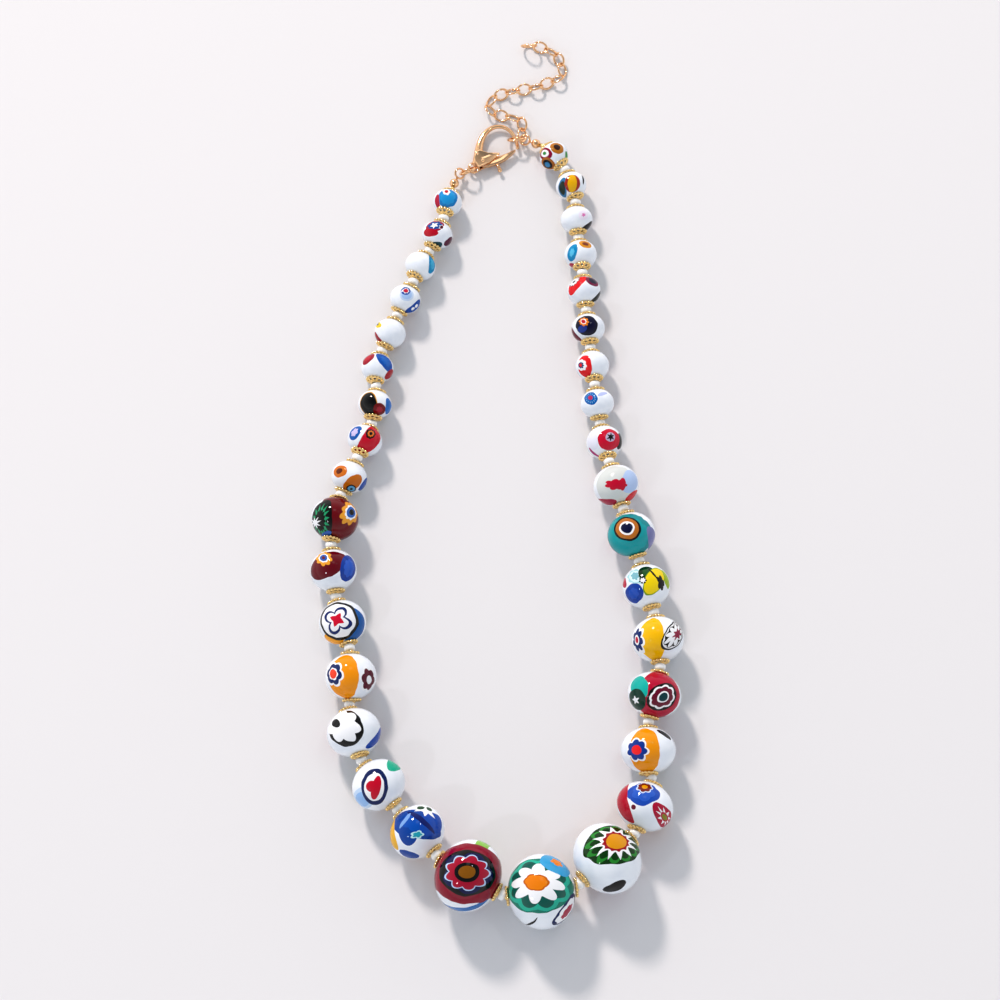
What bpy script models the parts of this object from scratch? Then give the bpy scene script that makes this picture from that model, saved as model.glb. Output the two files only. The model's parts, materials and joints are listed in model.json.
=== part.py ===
"""Beaded necklace: graduated mosaic-glass beads with bead caps, a lobster clasp and an extender chain.

The necklace lies on a level surface at z = 0, clasp towards +Y, centre bead towards -Y.
All sizes are in metres.
"""
import math

import bmesh
import bpy
from mathutils import Matrix, Vector

# Bead diameters by size group, and the hole through every bead
SMALL_BEAD = 0.0085
MEDIUM_BEAD = 0.0120
LARGE_BEAD = 0.0136
FOCAL_BEAD = 0.0178
BEAD_HOLE = 0.0013

# What lies between two neighbouring beads: the wire, a cap on each bead and one seed bead
WIRE_DIAMETER = 0.0006
SPACER_LENGTH = 0.0029
CAP_DIAMETER = 0.0045
CAP_WALL = 0.0003
CAP_COLLAR = 0.0019
CAP_SEAT_GAP = 0.0003
SEED_DIAMETER = 0.0025

# The gold end beads with their wire loops
END_BEAD = 0.0025
END_SPACER_LENGTH = 0.0021
END_HOLE_DEPTH = 0.0008
LOOP_DIAMETER = 0.0032
LOOP_WIRE = 0.00055
LOOP_NECK = 0.0006

# Jump rings
RING_DIAMETER = 0.0050
RING_WIRE = 0.0007
RING_TILT = math.radians(58)
RING_PLAY = 0.0004

# Lobster clasp, in its own plan: u runs from the eye towards the hook, v towards the hook's back
CLASP_THICKNESS = 0.0028
CLASP_CHEEK = 0.0005
LEVER_SIDE_GAP = 0.0003
EYE_DIAMETER = 0.0033
EYE_WIRE = 0.00065
CLASP_REACH = 0.0139
CLASP_RISE = 0.0084
PIVOT_U = 0.0029
PIVOT_V = 0.0003
RIVET_DIAMETER = 0.0009
RIVET_GAP = 0.00012
LEVER_HUB = 0.0020
LEVER_TIP_GAP = 0.0003
KNOB_DIAMETER = 0.0011
HOOK_WIRE = 0.0010
EDGE_ROUNDING = 0.0002

# Extender chain
LINK_LENGTH = 0.0042
LINK_WIDTH = 0.0034
LINK_WIRE = 0.00055
LINK_BITE = 0.0001
LINK_ROLL = math.radians(42)
LINK_COUNT = 16
END_RING_DIAMETER = 0.0046

# Mesh fineness
SMALL_SIDES = 10
MEDIUM_SIDES = 12
FOCAL_SIDES = 14
BEAD_BANDS = 7
STRING_SIDES = 10
RING_SEGMENTS = 12
RING_SIDES = 6
LINK_SEGMENTS = 10
LINK_SIDES = 5

MESH_GAP = 0.0003

# The string's way over the surface, as few chosen points on one closed curve, drawn at full size.
# It starts under the centre bead, climbs the left strand, crosses the clasp and comes down the right.
STRING_ROUTE = [
    (0.0100, -0.1012), (-0.0095, -0.0965), (-0.0212, -0.0852), (-0.0310, -0.0728),
    (-0.0366, -0.0594), (-0.0371, -0.0455), (-0.0398, -0.0315), (-0.0422, -0.0170),
    (-0.0412, -0.0036), (-0.0368, 0.0087), (-0.0333, 0.0185), (-0.0319, 0.0270),
    (-0.0316, 0.0350), (-0.0284, 0.0444), (-0.0243, 0.0545), (-0.0207, 0.0632),
    (-0.0165, 0.0717), (-0.0138, 0.0812), (-0.0118, 0.0880), (-0.0060, 0.0945),
    (0.0035, 0.0995), (0.0100, 0.0985), (0.0146, 0.0940), (0.0190, 0.0852), (0.0202, 0.0757),
    (0.0211, 0.0662), (0.0219, 0.0559), (0.0229, 0.0453), (0.0239, 0.0348), (0.0251, 0.0241),
    (0.0268, 0.0132), (0.0298, 0.0008), (0.0334, -0.0120), (0.0370, -0.0262),
    (0.0394, -0.0405), (0.0379, -0.0545), (0.0363, -0.0672), (0.0352, -0.0805),
    (0.0268, -0.0925),
]

# The extender chain's way over the surface, from the right ring, in the clasp's plan
CHAIN_ROUTE = [
    (0.0174, 0.0058), (0.0158, 0.0086), (0.0132, 0.0107), (0.0116, 0.0134), (0.0137, 0.0158),
    (0.0169, 0.0159), (0.0200, 0.0153), (0.0232, 0.0143), (0.0265, 0.0136), (0.0297, 0.0133),
    (0.0331, 0.0135), (0.0348, 0.0161), (0.0349, 0.0194), (0.0335, 0.0223), (0.0313, 0.0246),
    (0.0291, 0.0269), (0.0274, 0.0300),
]

# Every bead, counted from the clasp. Swell is its diameter as a share of its size group's,
# length its length along the hole as a share of its own diameter. Tip is how far, in degrees, the end
# away from the clasp is raised, and swing how far the hole is turned in plan from the string's way.
BEAD_COLUMNS = ("group", "swell", "length", "tip", "swing")
LEFT_BEADS = [
    ("small", 0.91, 0.88, 8, 0),
    ("small", 0.97, 0.88, 0, 0),
    ("small", 0.96, 0.88, 8, 0),
    ("small", 0.96, 0.92, -6, -4),
    ("small", 0.97, 0.92, -2, 0),
    ("small", 1.00, 0.88, 8, 0),
    ("small", 1.03, 0.84, 2, 0),
    ("small", 1.07, 0.84, 12, 0),
    ("small", 1.09, 0.88, -4, 0),
    ("medium", 1.00, 0.92, 4, 0),
    ("medium", 0.98, 0.91, 0, 0),
    ("medium", 0.99, 0.95, 4, 5),
    ("large", 0.94, 0.91, -6, 0),
    ("large", 0.99, 0.88, 6, 0),
    ("large", 0.99, 0.90, 2, 4),
    ("large", 1.02, 0.90, 6, 0),
    ("focal", 1.00, 0.89, 3, -3),
]
CENTRE_BEAD = ("focal", 1.015, 0.91, 0, 0)
RIGHT_BEADS = [
    ("small", 0.93, 0.88, 4, 0),
    ("small", 0.97, 0.88, 4, 0),
    ("small", 1.00, 0.84, 0, 0),
    ("small", 1.01, 0.88, 10, 0),
    ("small", 1.03, 0.88, 0, 0),
    ("small", 1.03, 0.88, 4, 0),
    ("small", 1.03, 0.88, 8, 0),
    ("small", 1.02, 0.88, -4, 0),
    ("small", 1.09, 0.92, 12, 0),
    ("medium", 0.97, 0.90, 0, 0),
    ("medium", 1.02, 0.92, -4, 0),
    ("medium", 1.00, 0.93, 4, 0),
    ("large", 0.96, 0.88, 4, 0),
    ("large", 0.99, 0.84, -4, -6),
    ("large", 1.00, 0.84, 2, 4),
    ("large", 1.04, 0.84, 4, -4),
    ("focal", 1.00, 0.88, 8, 0),
]

GROUP_SIZES = {
    "small": (SMALL_BEAD, SMALL_SIDES),
    "medium": (MEDIUM_BEAD, MEDIUM_SIDES),
    "large": (LARGE_BEAD, MEDIUM_SIDES),
    "focal": (FOCAL_BEAD, FOCAL_SIDES),
}

UP = Vector((0, 0, 1))


# Materials

def make_material(name, colour, roughness, metallic):
    material = bpy.data.materials.new(name)
    material.use_nodes = True
    shader = material.node_tree.nodes["Principled BSDF"]
    shader.inputs["Base Color"].default_value = (*colour, 1)
    shader.inputs["Roughness"].default_value = roughness
    shader.inputs["Metallic"].default_value = metallic
    return material


# Mesh helpers

def frame_across(direction, up=UP):
    """Side, up and forward directions of a piece whose axis is the given direction."""
    forward = direction.normalized()
    side = up.cross(forward).normalized()
    return side, forward.cross(side), forward


def ring_points(centre, direction, radius, sides, up=UP):
    """A round loop of points square to a direction, with a flat between two points at the bottom."""
    side, upward, _ = frame_across(direction, up)
    start = -math.pi / 2 + math.pi / sides
    angles = [start + math.tau * step / sides for step in range(sides)]
    return [centre + radius * (math.cos(a) * side + math.sin(a) * upward) for a in angles]


def bridge_all(bm, loops, closed):
    """Skin a row of equal loops; a closed row joins its last loop to its first."""
    rows = [[bm.verts.new(point) for point in loop] for loop in loops]
    pairs = list(zip(rows, rows[1:]))
    if closed:
        pairs.append((rows[-1], rows[0]))
    else:
        bm.faces.new(rows[0])
        bm.faces.new(rows[-1])
    for row, following in pairs:
        count = len(row)
        for step in range(count):
            after = (step + 1) % count
            bm.faces.new((row[step], row[after], following[after], following[step]))


def mesh_object(name, material, parent, fill, location=(0, 0, 0), rotation=None):
    """Make a named object, with its mesh filled in by a function that gets the bmesh."""
    bm = bmesh.new()
    fill(bm)
    bmesh.ops.recalc_face_normals(bm, faces=bm.faces)
    mesh = bpy.data.meshes.new(name)
    bm.to_mesh(mesh)
    bm.free()
    mesh.materials.append(material)
    mesh.shade_smooth()
    mesh.set_sharp_from_angle(angle=math.radians(40))
    obj = bpy.data.objects.new(name, mesh)
    bpy.context.collection.objects.link(obj)
    obj.location = location
    if rotation is not None:
        obj.rotation_euler = rotation.to_euler()
    obj.parent = parent
    return obj


def join_solids(base, tools, operation):
    """Apply Booleans that add the tools to the base, or cut them from it, and delete the tools."""
    for tool in tools:
        modifier = base.modifiers.new(operation.title(), "BOOLEAN")
        modifier.operation = operation
        modifier.solver = "EXACT"
        modifier.object = tool
    bpy.context.view_layer.update()
    graph = bpy.context.evaluated_depsgraph_get()
    mesh = bpy.data.meshes.new_from_object(base.evaluated_get(graph))
    base.modifiers.clear()
    old_mesh = base.data
    base.data = mesh
    bpy.data.meshes.remove(old_mesh)
    mesh.name = base.name
    for tool in tools:
        bpy.data.objects.remove(tool)


# The string's way

class Route:
    """A smooth curve through plan points, measured by the length along it."""

    STEPS = 24

    def __init__(self, points, closed, scale=1.0):
        self.closed = closed
        nodes = [Vector((x, y, 0)) * scale for x, y in points]
        count = len(nodes)
        spans = count if closed else count - 1
        self.points = []
        for span in range(spans):
            if closed:
                four = [nodes[(span + shift) % count] for shift in (-1, 0, 1, 2)]
            else:
                four = [nodes[min(max(span + shift, 0), count - 1)] for shift in (-1, 0, 1, 2)]
            self.points += [catmull_rom(*four, step / self.STEPS) for step in range(self.STEPS)]
        self.points.append(nodes[0] if closed else nodes[-1])
        self.arcs = [0.0]
        for here, there in zip(self.points, self.points[1:]):
            self.arcs.append(self.arcs[-1] + (there - here).length)
        self.length = self.arcs[-1]

    def at(self, arc):
        """The point at a length along the curve, and past an open curve's ends straight on."""
        if self.closed:
            arc %= self.length
        low, high = 0, len(self.arcs) - 2
        while low < high:
            middle = (low + high + 1) // 2
            if self.arcs[middle] <= arc:
                low = middle
            else:
                high = middle - 1
        share = (arc - self.arcs[low]) / (self.arcs[low + 1] - self.arcs[low])
        return self.points[low].lerp(self.points[low + 1], share)

    def heading(self, arc, reach):
        return (self.at(arc + reach) - self.at(arc - reach)).normalized()


def catmull_rom(before, start, end, after, share):
    square = share * share
    cube = square * share
    return 0.5 * (2 * start + (end - before) * share
                  + (2 * before - 5 * start + 4 * end - after) * square
                  + (3 * start - before - 3 * end + after) * cube)


def bisect_root(function, low, high, rounds=40):
    """The place between low and high where a rising function passes zero."""
    for _ in range(rounds):
        middle = (low + high) / 2
        if function(middle) < 0:
            low = middle
        else:
            high = middle
    return (low + high) / 2


# Beads

class Bead:
    """One drilled, slightly flattened glass bead: its sizes, its profile and its place."""

    def __init__(self, row):
        shape = dict(zip(BEAD_COLUMNS, row))
        diameter, self.sides = GROUP_SIZES[shape["group"]]
        self.radius = diameter * shape["swell"] / 2
        self.half_length = self.radius * shape["length"]
        self.tip = math.radians(shape["tip"])
        self.swing = math.radians(shape["swing"])
        self.lift = self.rest_height()

    def profile(self):
        """Radius and height of each ring of the outside; the flats lie on the true round."""
        hole = BEAD_HOLE / 2
        first = math.asin(hole / self.radius)
        band = (math.pi - 2 * first) / BEAD_BANDS
        spread = 1 / (math.cos(band / 2) * math.cos(math.pi / self.sides))
        angles = [first + band * step for step in range(BEAD_BANDS + 1)]
        rings = [(self.radius * math.sin(a) * spread, self.half_length * math.cos(a)) for a in angles]
        end = self.hole_height()
        rings[0] = (hole, end)
        rings[-1] = (hole, -end)
        return rings

    def hole_height(self):
        """Height of the hole's mouth above the bead's middle."""
        return self.half_length * math.sqrt(1 - (BEAD_HOLE / 2 / self.radius) ** 2)

    def surface_drop(self, radius):
        """How far the bead's end has fallen below its pole at a distance from the hole's axis."""
        return self.half_length * (1 - math.sqrt(max(0.0, 1 - (radius / self.radius) ** 2)))

    def aim(self, heading):
        """Hole direction, from the centre bead towards the clasp, for a heading in plan."""
        plan = Matrix.Rotation(self.swing, 3, "Z") @ heading
        return (plan * math.cos(self.tip) - UP * math.sin(self.tip)).normalized()

    def rest_height(self):
        """Height of the middle when the lowest corner of the bead touches the surface."""
        _, upward, forward = frame_across(self.aim(Vector((1, 0, 0))))
        start = -math.pi / 2 + math.pi / self.sides
        lowest = 0.0
        for radius, height in self.profile():
            for step in range(self.sides):
                angle = start + math.tau * step / self.sides
                level = radius * math.sin(angle) * upward.z + height * forward.z
                lowest = min(lowest, level)
        return -lowest

    def place(self, route, arc, sense):
        """Seat the bead at a length along the route; sense is +1 or -1, towards the clasp."""
        self.arc = arc
        self.axis = self.aim(sense * route.heading(arc, self.radius))
        self.centre = route.at(arc) + UP * self.lift

    def end_towards_centre(self):
        return self.centre - self.axis * self.hole_height()

    def end_towards_clasp(self):
        return self.centre + self.axis * self.hole_height()

    def build(self, name, material, parent):
        side, upward, forward = frame_across(self.axis)
        turn = Matrix((side, upward, forward)).transposed()
        local_up = Vector((0, 1, 0))

        def fill(bm):
            rings = self.profile()
            loops = [ring_points(Vector((0, 0, z)), Vector((0, 0, 1)), r, self.sides, local_up)
                     for r, z in rings]
            bridge_all(bm, loops, closed=True)

        return mesh_object(name, material, parent, fill, self.centre, turn)


def thread_strand(rows, centre, route, sense):
    """Seat one strand's beads from the centre bead to the clasp, a spacer's length apart."""
    beads = []
    previous = centre
    arc = centre.arc
    for row in reversed(rows):
        bead = Bead(row)
        start = sense_end(previous, centre, sense)
        near = previous.radius * 0.6 + bead.radius * 0.6
        far = previous.radius + bead.radius + 3 * SPACER_LENGTH

        def slack(reach):
            bead.place(route, arc + sense * reach, sense)
            return (bead.end_towards_centre() - start).length - SPACER_LENGTH

        reach = near
        step = SPACER_LENGTH / 6
        while slack(reach) > 0 and reach < far:
            reach += step
        while slack(reach) < 0 and reach < far:
            reach += step
        reach = bisect_root(slack, reach - step, reach)
        slack(reach)
        arc += sense * reach
        beads.append(bead)
        previous = bead
    return list(reversed(beads))


def sense_end(bead, centre, sense):
    """The end of a seated bead that the strand leaves from."""
    if bead is centre:
        return bead.centre + sense * bead.axis * bead.hole_height()
    return bead.end_towards_clasp()


# The strings: wire, bead caps and seed beads as one skin of round loops

def cap_loops(end, out, bead):
    """Loops of one bead cap, from the wire at the bead's hole to the collar at the seed bead."""
    rim = CAP_DIAMETER / 2
    return [
        (end + out * CAP_SEAT_GAP, out, WIRE_DIAMETER / 2),
        (end + out * (CAP_SEAT_GAP - bead.surface_drop(rim)), out, rim),
        (end + out * (CAP_SEAT_GAP + CAP_WALL), out, CAP_COLLAR / 2),
    ]


def string_loops(strand, centre, sense, end_bead):
    """Loops of a half string, from inside the gold end bead to inside the centre bead."""
    loops = end_bead.wire_loops()
    collar = None
    for bead in strand:
        clasp_side = cap_loops(bead.end_towards_clasp(), bead.axis, bead)
        loops += seed_loop(collar or loops[-1], clasp_side[-1])
        loops += [(point, -out, radius) for point, out, radius in reversed(clasp_side)]
        loops += cap_loops(bead.end_towards_centre(), -bead.axis, bead)
        collar = loops[-1]
    out = sense * centre.axis
    last = cap_loops(centre.centre + out * centre.hole_height(), out, centre)
    loops += seed_loop(collar, last[-1])
    loops += [(point, -direction, radius) for point, direction, radius in reversed(last)]
    loops.append((centre.centre + out * MESH_GAP / 2, -out, WIRE_DIAMETER / 2))
    return loops


def seed_loop(start, end):
    """The widest loop of the seed bead between two collars."""
    middle = (start[0] + end[0]) / 2
    return [(middle, (end[0] - start[0]).normalized(), SEED_DIAMETER / 2)]


def build_string(name, material, parent, loops):
    def fill(bm):
        rows = [ring_points(point, out, radius, STRING_SIDES) for point, out, radius in loops]
        bridge_all(bm, rows, closed=False)

    return mesh_object(name, material, parent, fill)


# Wire rings and links

def wire_ring(bm, centre, along, across, half_length, half_width, wire, segments, sides):
    """A closed oval of round wire: along and across are its two directions."""
    normal = along.cross(across)
    rows = []
    for step in range(segments):
        angle = math.tau * (step + 0.5) / segments
        outward = along * math.cos(angle) * half_width + across * math.sin(angle) * half_length
        outward.normalize()
        middle = centre + along * math.cos(angle) * half_length + across * math.sin(angle) * half_width
        row = []
        for corner in range(sides):
            turn = math.tau * corner / sides
            row.append(middle + wire / 2 * (math.cos(turn) * outward + math.sin(turn) * normal))
        rows.append(row)
    bridge_all(bm, rows, closed=True)


class Ring:
    """A round wire ring whose plane holds a level direction and leans out of the surface."""

    def __init__(self, diameter, wire, centre, along, lean):
        self.radius = (diameter - wire) / 2
        self.wire = wire
        self.centre = centre
        self.along = along
        level = UP.cross(along)
        self.across = level * math.cos(lean) + UP * math.sin(lean)

    def point(self, angle):
        return self.centre + self.radius * (self.along * math.cos(angle) + self.across * math.sin(angle))

    def tangent(self, angle):
        return self.across * math.cos(angle) - self.along * math.sin(angle)

    def fill(self, bm):
        wire_ring(bm, self.centre, self.along, self.across, self.radius, self.radius,
                  self.wire, RING_SEGMENTS, RING_SIDES)


def direction_in_plan(degrees):
    angle = math.radians(degrees)
    return Vector((math.cos(angle), math.sin(angle), 0))


# The gold end beads

class EndBead:
    """A round gold bead over the string's crimp, with a wire loop out of its far side."""

    def __init__(self, centre, towards_loop, loop):
        self.centre = centre
        self.axis = towards_loop
        self.loop = loop
        self.hole = WIRE_DIAMETER / 2 + MESH_GAP
        self.mouth = math.sqrt((END_BEAD / 2) ** 2 - self.hole ** 2)

    def wire_loops(self):
        """The string's first two loops: in the blind hole, and just outside it."""
        bottom = self.centre - self.axis * (self.mouth - END_HOLE_DEPTH + MESH_GAP)
        outside = self.centre - self.axis * (self.mouth + MESH_GAP)
        return [(bottom, -self.axis, WIRE_DIAMETER / 2), (outside, -self.axis, WIRE_DIAMETER / 2)]

    def build(self, name, material, parent):
        radius = END_BEAD / 2

        def fill_ball(bm):
            first = math.asin(self.hole / radius)
            bands = 6
            heights = [(self.hole, -self.mouth + END_HOLE_DEPTH), (self.hole, -self.mouth)]
            for step in range(1, bands):
                angle = first + (math.pi - first) * step / bands
                heights.append((radius * math.sin(angle), -radius * math.cos(angle)))
            rows = [ring_points(self.centre + self.axis * z, self.axis, r, RING_SEGMENTS)
                    for r, z in heights]
            bridge_all(bm, rows, closed=False)

        def fill_neck(bm):
            start = self.centre + self.axis * radius * 0.6
            end = self.loop.centre - self.axis * self.loop.radius
            rows = [ring_points(point, self.axis, LOOP_WIRE / 2, RING_SIDES) for point in (start, end)]
            bridge_all(bm, rows, closed=False)

        ball = mesh_object(name, material, parent, fill_ball)
        loop = mesh_object("loop", material, None, self.loop.fill)
        neck = mesh_object("neck", material, None, fill_neck)
        join_solids(ball, [loop, neck], "UNION")
        return ball


# The clasp, in its own plan until it is turned into place

# Middle line of the arm and hook. Reach and rise are shares of CLASP_REACH and CLASP_RISE, width and
# height are shares of HOOK_WIRE.
HOOK_COLUMNS = ("reach", "rise", "width", "height")
HOOK_SECTIONS = [
    (0.165, 0.24, 2.2, 2.3),
    (0.245, 0.46, 2.1, 2.2),
    (0.355, 0.70, 1.7, 1.8),
    (0.490, 0.89, 1.35, 1.4),
    (0.650, 0.99, 1.1, 1.2),
    (0.800, 0.97, 1.0, 1.1),
    (0.920, 0.82, 1.0, 1.0),
    (0.985, 0.60, 1.0, 1.0),
    (1.000, 0.37, 1.0, 1.0),
    (0.980, 0.14, 1.0, 1.0),
    (0.935, -0.05, 0.8, 0.9),
]
HOOK_SIDES = 8

# Outline of each cheek, counted from the eye: shares of CLASP_REACH and CLASP_RISE
CHEEK_OUTLINE = [
    (0.065, -0.12), (0.32, -0.12), (0.56, -0.01), (0.56, 0.05), (0.37, 0.21), (0.26, 0.43),
    (0.16, 0.43), (0.09, 0.26), (0.06, 0.12),
]

# Outline of the lever past its hub, from the pivot: shares of the lever's own reach
LEVER_OUTLINE = [
    (-0.064, -0.130), (0.086, -0.205), (0.31, -0.246), (0.59, -0.240), (0.845, -0.170),
    (0.99, -0.112), (1.0, -0.077), (0.74, -0.077), (0.45, -0.050), (0.20, 0.040),
]
KNOB_PLACE = (0.32, -0.44)
KNOB_STEM_ROOT = (0.35, -0.22)

# Headings in the clasp's plan, in degrees: out of the eye or hook to the ring, the loop and the end bead
LEFT_HEADINGS = (-182, -180, -144)
RIGHT_HEADINGS = (-18, -45, -48)
RING_ON_HOOK = (1.0, 0.30)

# Where on its ring each piece hangs, as an angle from the ring's far point
LEFT_LOOP_ON_RING = math.radians(-20)
RIGHT_LOOP_ON_RING = math.radians(-20)


def slab(name, material, outline, low, high, rounding=0.0):
    """A flat plate of an outline in plan, between two heights, with its edges rounded."""
    def fill(bm):
        rows = [[Vector((u, v, z)) for u, v in outline] for z in (low, high)]
        bridge_all(bm, rows, closed=False)
        if rounding:
            bmesh.ops.bevel(bm, geom=bm.edges[:], offset=rounding, segments=1, affect="EDGES",
                            clamp_overlap=True)

    return mesh_object(name, material, None, fill)


def round_bar(name, material, centre, radius, low, high, sides):
    """An upright round bar, such as the rivet."""
    outline = [(centre[0] + radius * math.cos(math.tau * step / sides),
                centre[1] + radius * math.sin(math.tau * step / sides)) for step in range(sides)]
    return slab(name, material, outline, low, high)


def lever_reach():
    """From the pivot to the lever's tip, which stops short of the hook's end."""
    tip = dict(zip(HOOK_COLUMNS, HOOK_SECTIONS[-1]))
    return CLASP_REACH * tip["reach"] - HOOK_WIRE * tip["width"] / 2 - LEVER_TIP_GAP - PIVOT_U


def build_clasp_frame(material):
    middle = CLASP_THICKNESS / 2
    outline = [(u * CLASP_REACH, v * CLASP_RISE) for u, v in CHEEK_OUTLINE]
    frame = slab("clasp_frame", material, outline, 0, CLASP_THICKNESS, EDGE_ROUNDING)

    half_slot = middle - CLASP_CHEEK
    hub = LEVER_HUB / 2 + MESH_GAP
    below = -CLASP_RISE
    slot_outline = [
        (PIVOT_U - hub, below), (PIVOT_U - hub, PIVOT_V + hub * 0.6), (PIVOT_U - hub * 0.5, PIVOT_V + hub),
        (PIVOT_U + hub, PIVOT_V + hub * 1.7), (CLASP_REACH, PIVOT_V + hub * 1.7), (CLASP_REACH, below),
    ]
    slot = slab("slot", material, slot_outline, middle - half_slot, middle + half_slot)
    join_solids(frame, [slot], "DIFFERENCE")

    def fill_hook(bm):
        rows = []
        line = [Vector((u * CLASP_REACH, v * CLASP_RISE, middle)) for u, v, _, _ in HOOK_SECTIONS]
        for index, section in enumerate(HOOK_SECTIONS):
            before = line[max(index - 1, 0)]
            after = line[min(index + 1, len(line) - 1)]
            side, upward, _ = frame_across(after - before)
            shape = dict(zip(HOOK_COLUMNS, section))
            half_width = HOOK_WIRE * shape["width"] / 2
            half_height = HOOK_WIRE * shape["height"] / 2
            angles = [math.tau * (step + 0.5) / HOOK_SIDES for step in range(HOOK_SIDES)]
            rows.append([line[index] + side * half_width * math.cos(a) + upward * half_height * math.sin(a)
                         for a in angles])
        bridge_all(bm, rows, closed=False)

    def fill_eye(bm):
        radius = (EYE_DIAMETER - EYE_WIRE) / 2
        wire_ring(bm, Vector((0, 0, middle)), Vector((1, 0, 0)), Vector((0, 1, 0)), radius, radius,
                  EYE_WIRE, RING_SEGMENTS, RING_SIDES)

    hook = mesh_object("hook", material, None, fill_hook)
    eye = mesh_object("eye", material, None, fill_eye)
    rivet = round_bar("rivet", material, (PIVOT_U, PIVOT_V), RIVET_DIAMETER / 2,
                      CLASP_CHEEK / 2, CLASP_THICKNESS - CLASP_CHEEK / 2, MEDIUM_SIDES)
    join_solids(frame, [hook, eye, rivet], "UNION")
    return frame


def build_lever(material):
    """The sprung lever, modelled about its pivot."""
    middle = CLASP_THICKNESS / 2
    half = middle - CLASP_CHEEK - LEVER_SIDE_GAP
    reach = lever_reach()
    outline = [(x * reach, y * reach) for x, y in LEVER_OUTLINE]
    hub_angles = [math.radians(70 + 24 * step) for step in range(6)]
    outline += [(LEVER_HUB / 2 * math.cos(a), LEVER_HUB / 2 * math.sin(a)) for a in hub_angles]
    lever = slab("clasp_lever", material, outline, middle - half, middle + half, EDGE_ROUNDING)

    root = Vector((KNOB_STEM_ROOT[0] * reach, KNOB_STEM_ROOT[1] * reach, middle))
    knob = Vector((KNOB_PLACE[0] * reach, KNOB_PLACE[1] * reach, middle))

    def fill_stem(bm):
        rows = [ring_points(point, knob - root, KNOB_DIAMETER * share, RING_SIDES)
                for point, share in ((root, 0.45), (knob, 0.3))]
        bridge_all(bm, rows, closed=False)

    def fill_knob(bm):
        bmesh.ops.create_uvsphere(bm, u_segments=MEDIUM_SIDES, v_segments=RING_SIDES,
                                  radius=KNOB_DIAMETER / 2, matrix=Matrix.Translation(knob))

    stem = mesh_object("stem", material, None, fill_stem)
    ball = mesh_object("knob", material, None, fill_knob)
    join_solids(lever, [stem, ball], "UNION")
    hole = round_bar("hole", material, (0, 0), RIVET_DIAMETER / 2 + RIVET_GAP,
                     -CLASP_THICKNESS, 2 * CLASP_THICKNESS, MEDIUM_SIDES)
    join_solids(lever, [hole], "DIFFERENCE")
    return lever


class ClaspPlan:
    """Where the eye, hook, rings, loops and end beads lie, in the clasp's own plan."""

    def __init__(self):
        self.ring_radius = (RING_DIAMETER - RING_WIRE) / 2
        self.ring_height = self.ring_radius * math.sin(RING_TILT) + RING_WIRE / 2
        middle = CLASP_THICKNESS / 2
        drop = (self.ring_height - middle) / math.sin(RING_TILT)
        sideways = drop * math.cos(RING_TILT)

        heading = direction_in_plan(LEFT_HEADINGS[0])
        level = UP.cross(heading)
        reach = math.sqrt(self.ring_radius ** 2 - drop ** 2)
        centre = heading * reach + level * sideways
        self.left_ring = self.ring_at(centre, heading, RING_TILT)
        self.left_loop = self.loop_after(self.left_ring, LEFT_LOOP_ON_RING, *LEFT_HEADINGS[1:], -1)
        self.left_end = self.end_after(self.left_loop)

        heading = direction_in_plan(RIGHT_HEADINGS[0])
        level = UP.cross(heading)
        inside = self.ring_radius - RING_WIRE / 2 - HOOK_WIRE / 2 - RING_PLAY
        reach = math.sqrt(max(inside ** 2 - drop ** 2, 0.0))
        on_hook = Vector((RING_ON_HOOK[0] * CLASP_REACH, RING_ON_HOOK[1] * CLASP_RISE, 0))
        centre = on_hook + heading * reach - level * sideways
        self.right_ring = self.ring_at(centre, heading, -RING_TILT)
        self.right_loop = self.loop_after(self.right_ring, RIGHT_LOOP_ON_RING, *RIGHT_HEADINGS[1:], 1)
        self.right_end = self.end_after(self.right_loop)

    def ring_at(self, centre, heading, lean):
        return Ring(RING_DIAMETER, RING_WIRE, centre + UP * self.ring_height, heading, lean)

    def loop_after(self, ring, on_ring, towards_loop, towards_end, lean_sense):
        """A wire loop through a ring, at an angle on the ring, leaning the other way."""
        inside = 1 - ((ring.wire + LOOP_WIRE) / 2 + RING_PLAY) / ring.radius
        held = ring.centre.lerp(ring.point(on_ring), inside)
        lean = lean_sense * (math.pi / 2 - RING_TILT)
        loop = Ring(LOOP_DIAMETER, LOOP_WIRE, Vector((0, 0, 0)), direction_in_plan(towards_end), lean)
        back = math.radians(towards_loop + 180 - towards_end)
        angle = math.atan2(math.sin(back) / math.cos(lean), math.cos(back))
        loop.centre = held - loop.point(angle)
        return loop

    def end_after(self, loop):
        """The middle of the end bead that holds a loop."""
        return loop.centre + loop.along * (loop.radius + LOOP_NECK + END_BEAD / 2)


class Turned:
    """The clasp's plan turned and moved onto the surface between the two strands."""

    def __init__(self, plan, left_end, right_end):
        own = plan.right_end - plan.left_end
        wanted = right_end - left_end
        self.angle = math.atan2(wanted.y, wanted.x) - math.atan2(own.y, own.x)
        self.turn = Matrix.Rotation(self.angle, 3, "Z")
        self.origin = left_end - self.turn @ plan.left_end
        self.origin.z = 0

    def point(self, place):
        return self.turn @ place + self.origin

    def ring(self, ring):
        moved = Ring(2 * ring.radius + ring.wire, ring.wire, self.point(ring.centre),
                     self.turn @ ring.along, 0)
        moved.across = self.turn @ ring.across
        return moved


# The extender chain

CHAIN_ON_RING = math.radians(38)
END_RING_HEADING = 155
END_RING_LEAN = math.radians(70)


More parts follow.
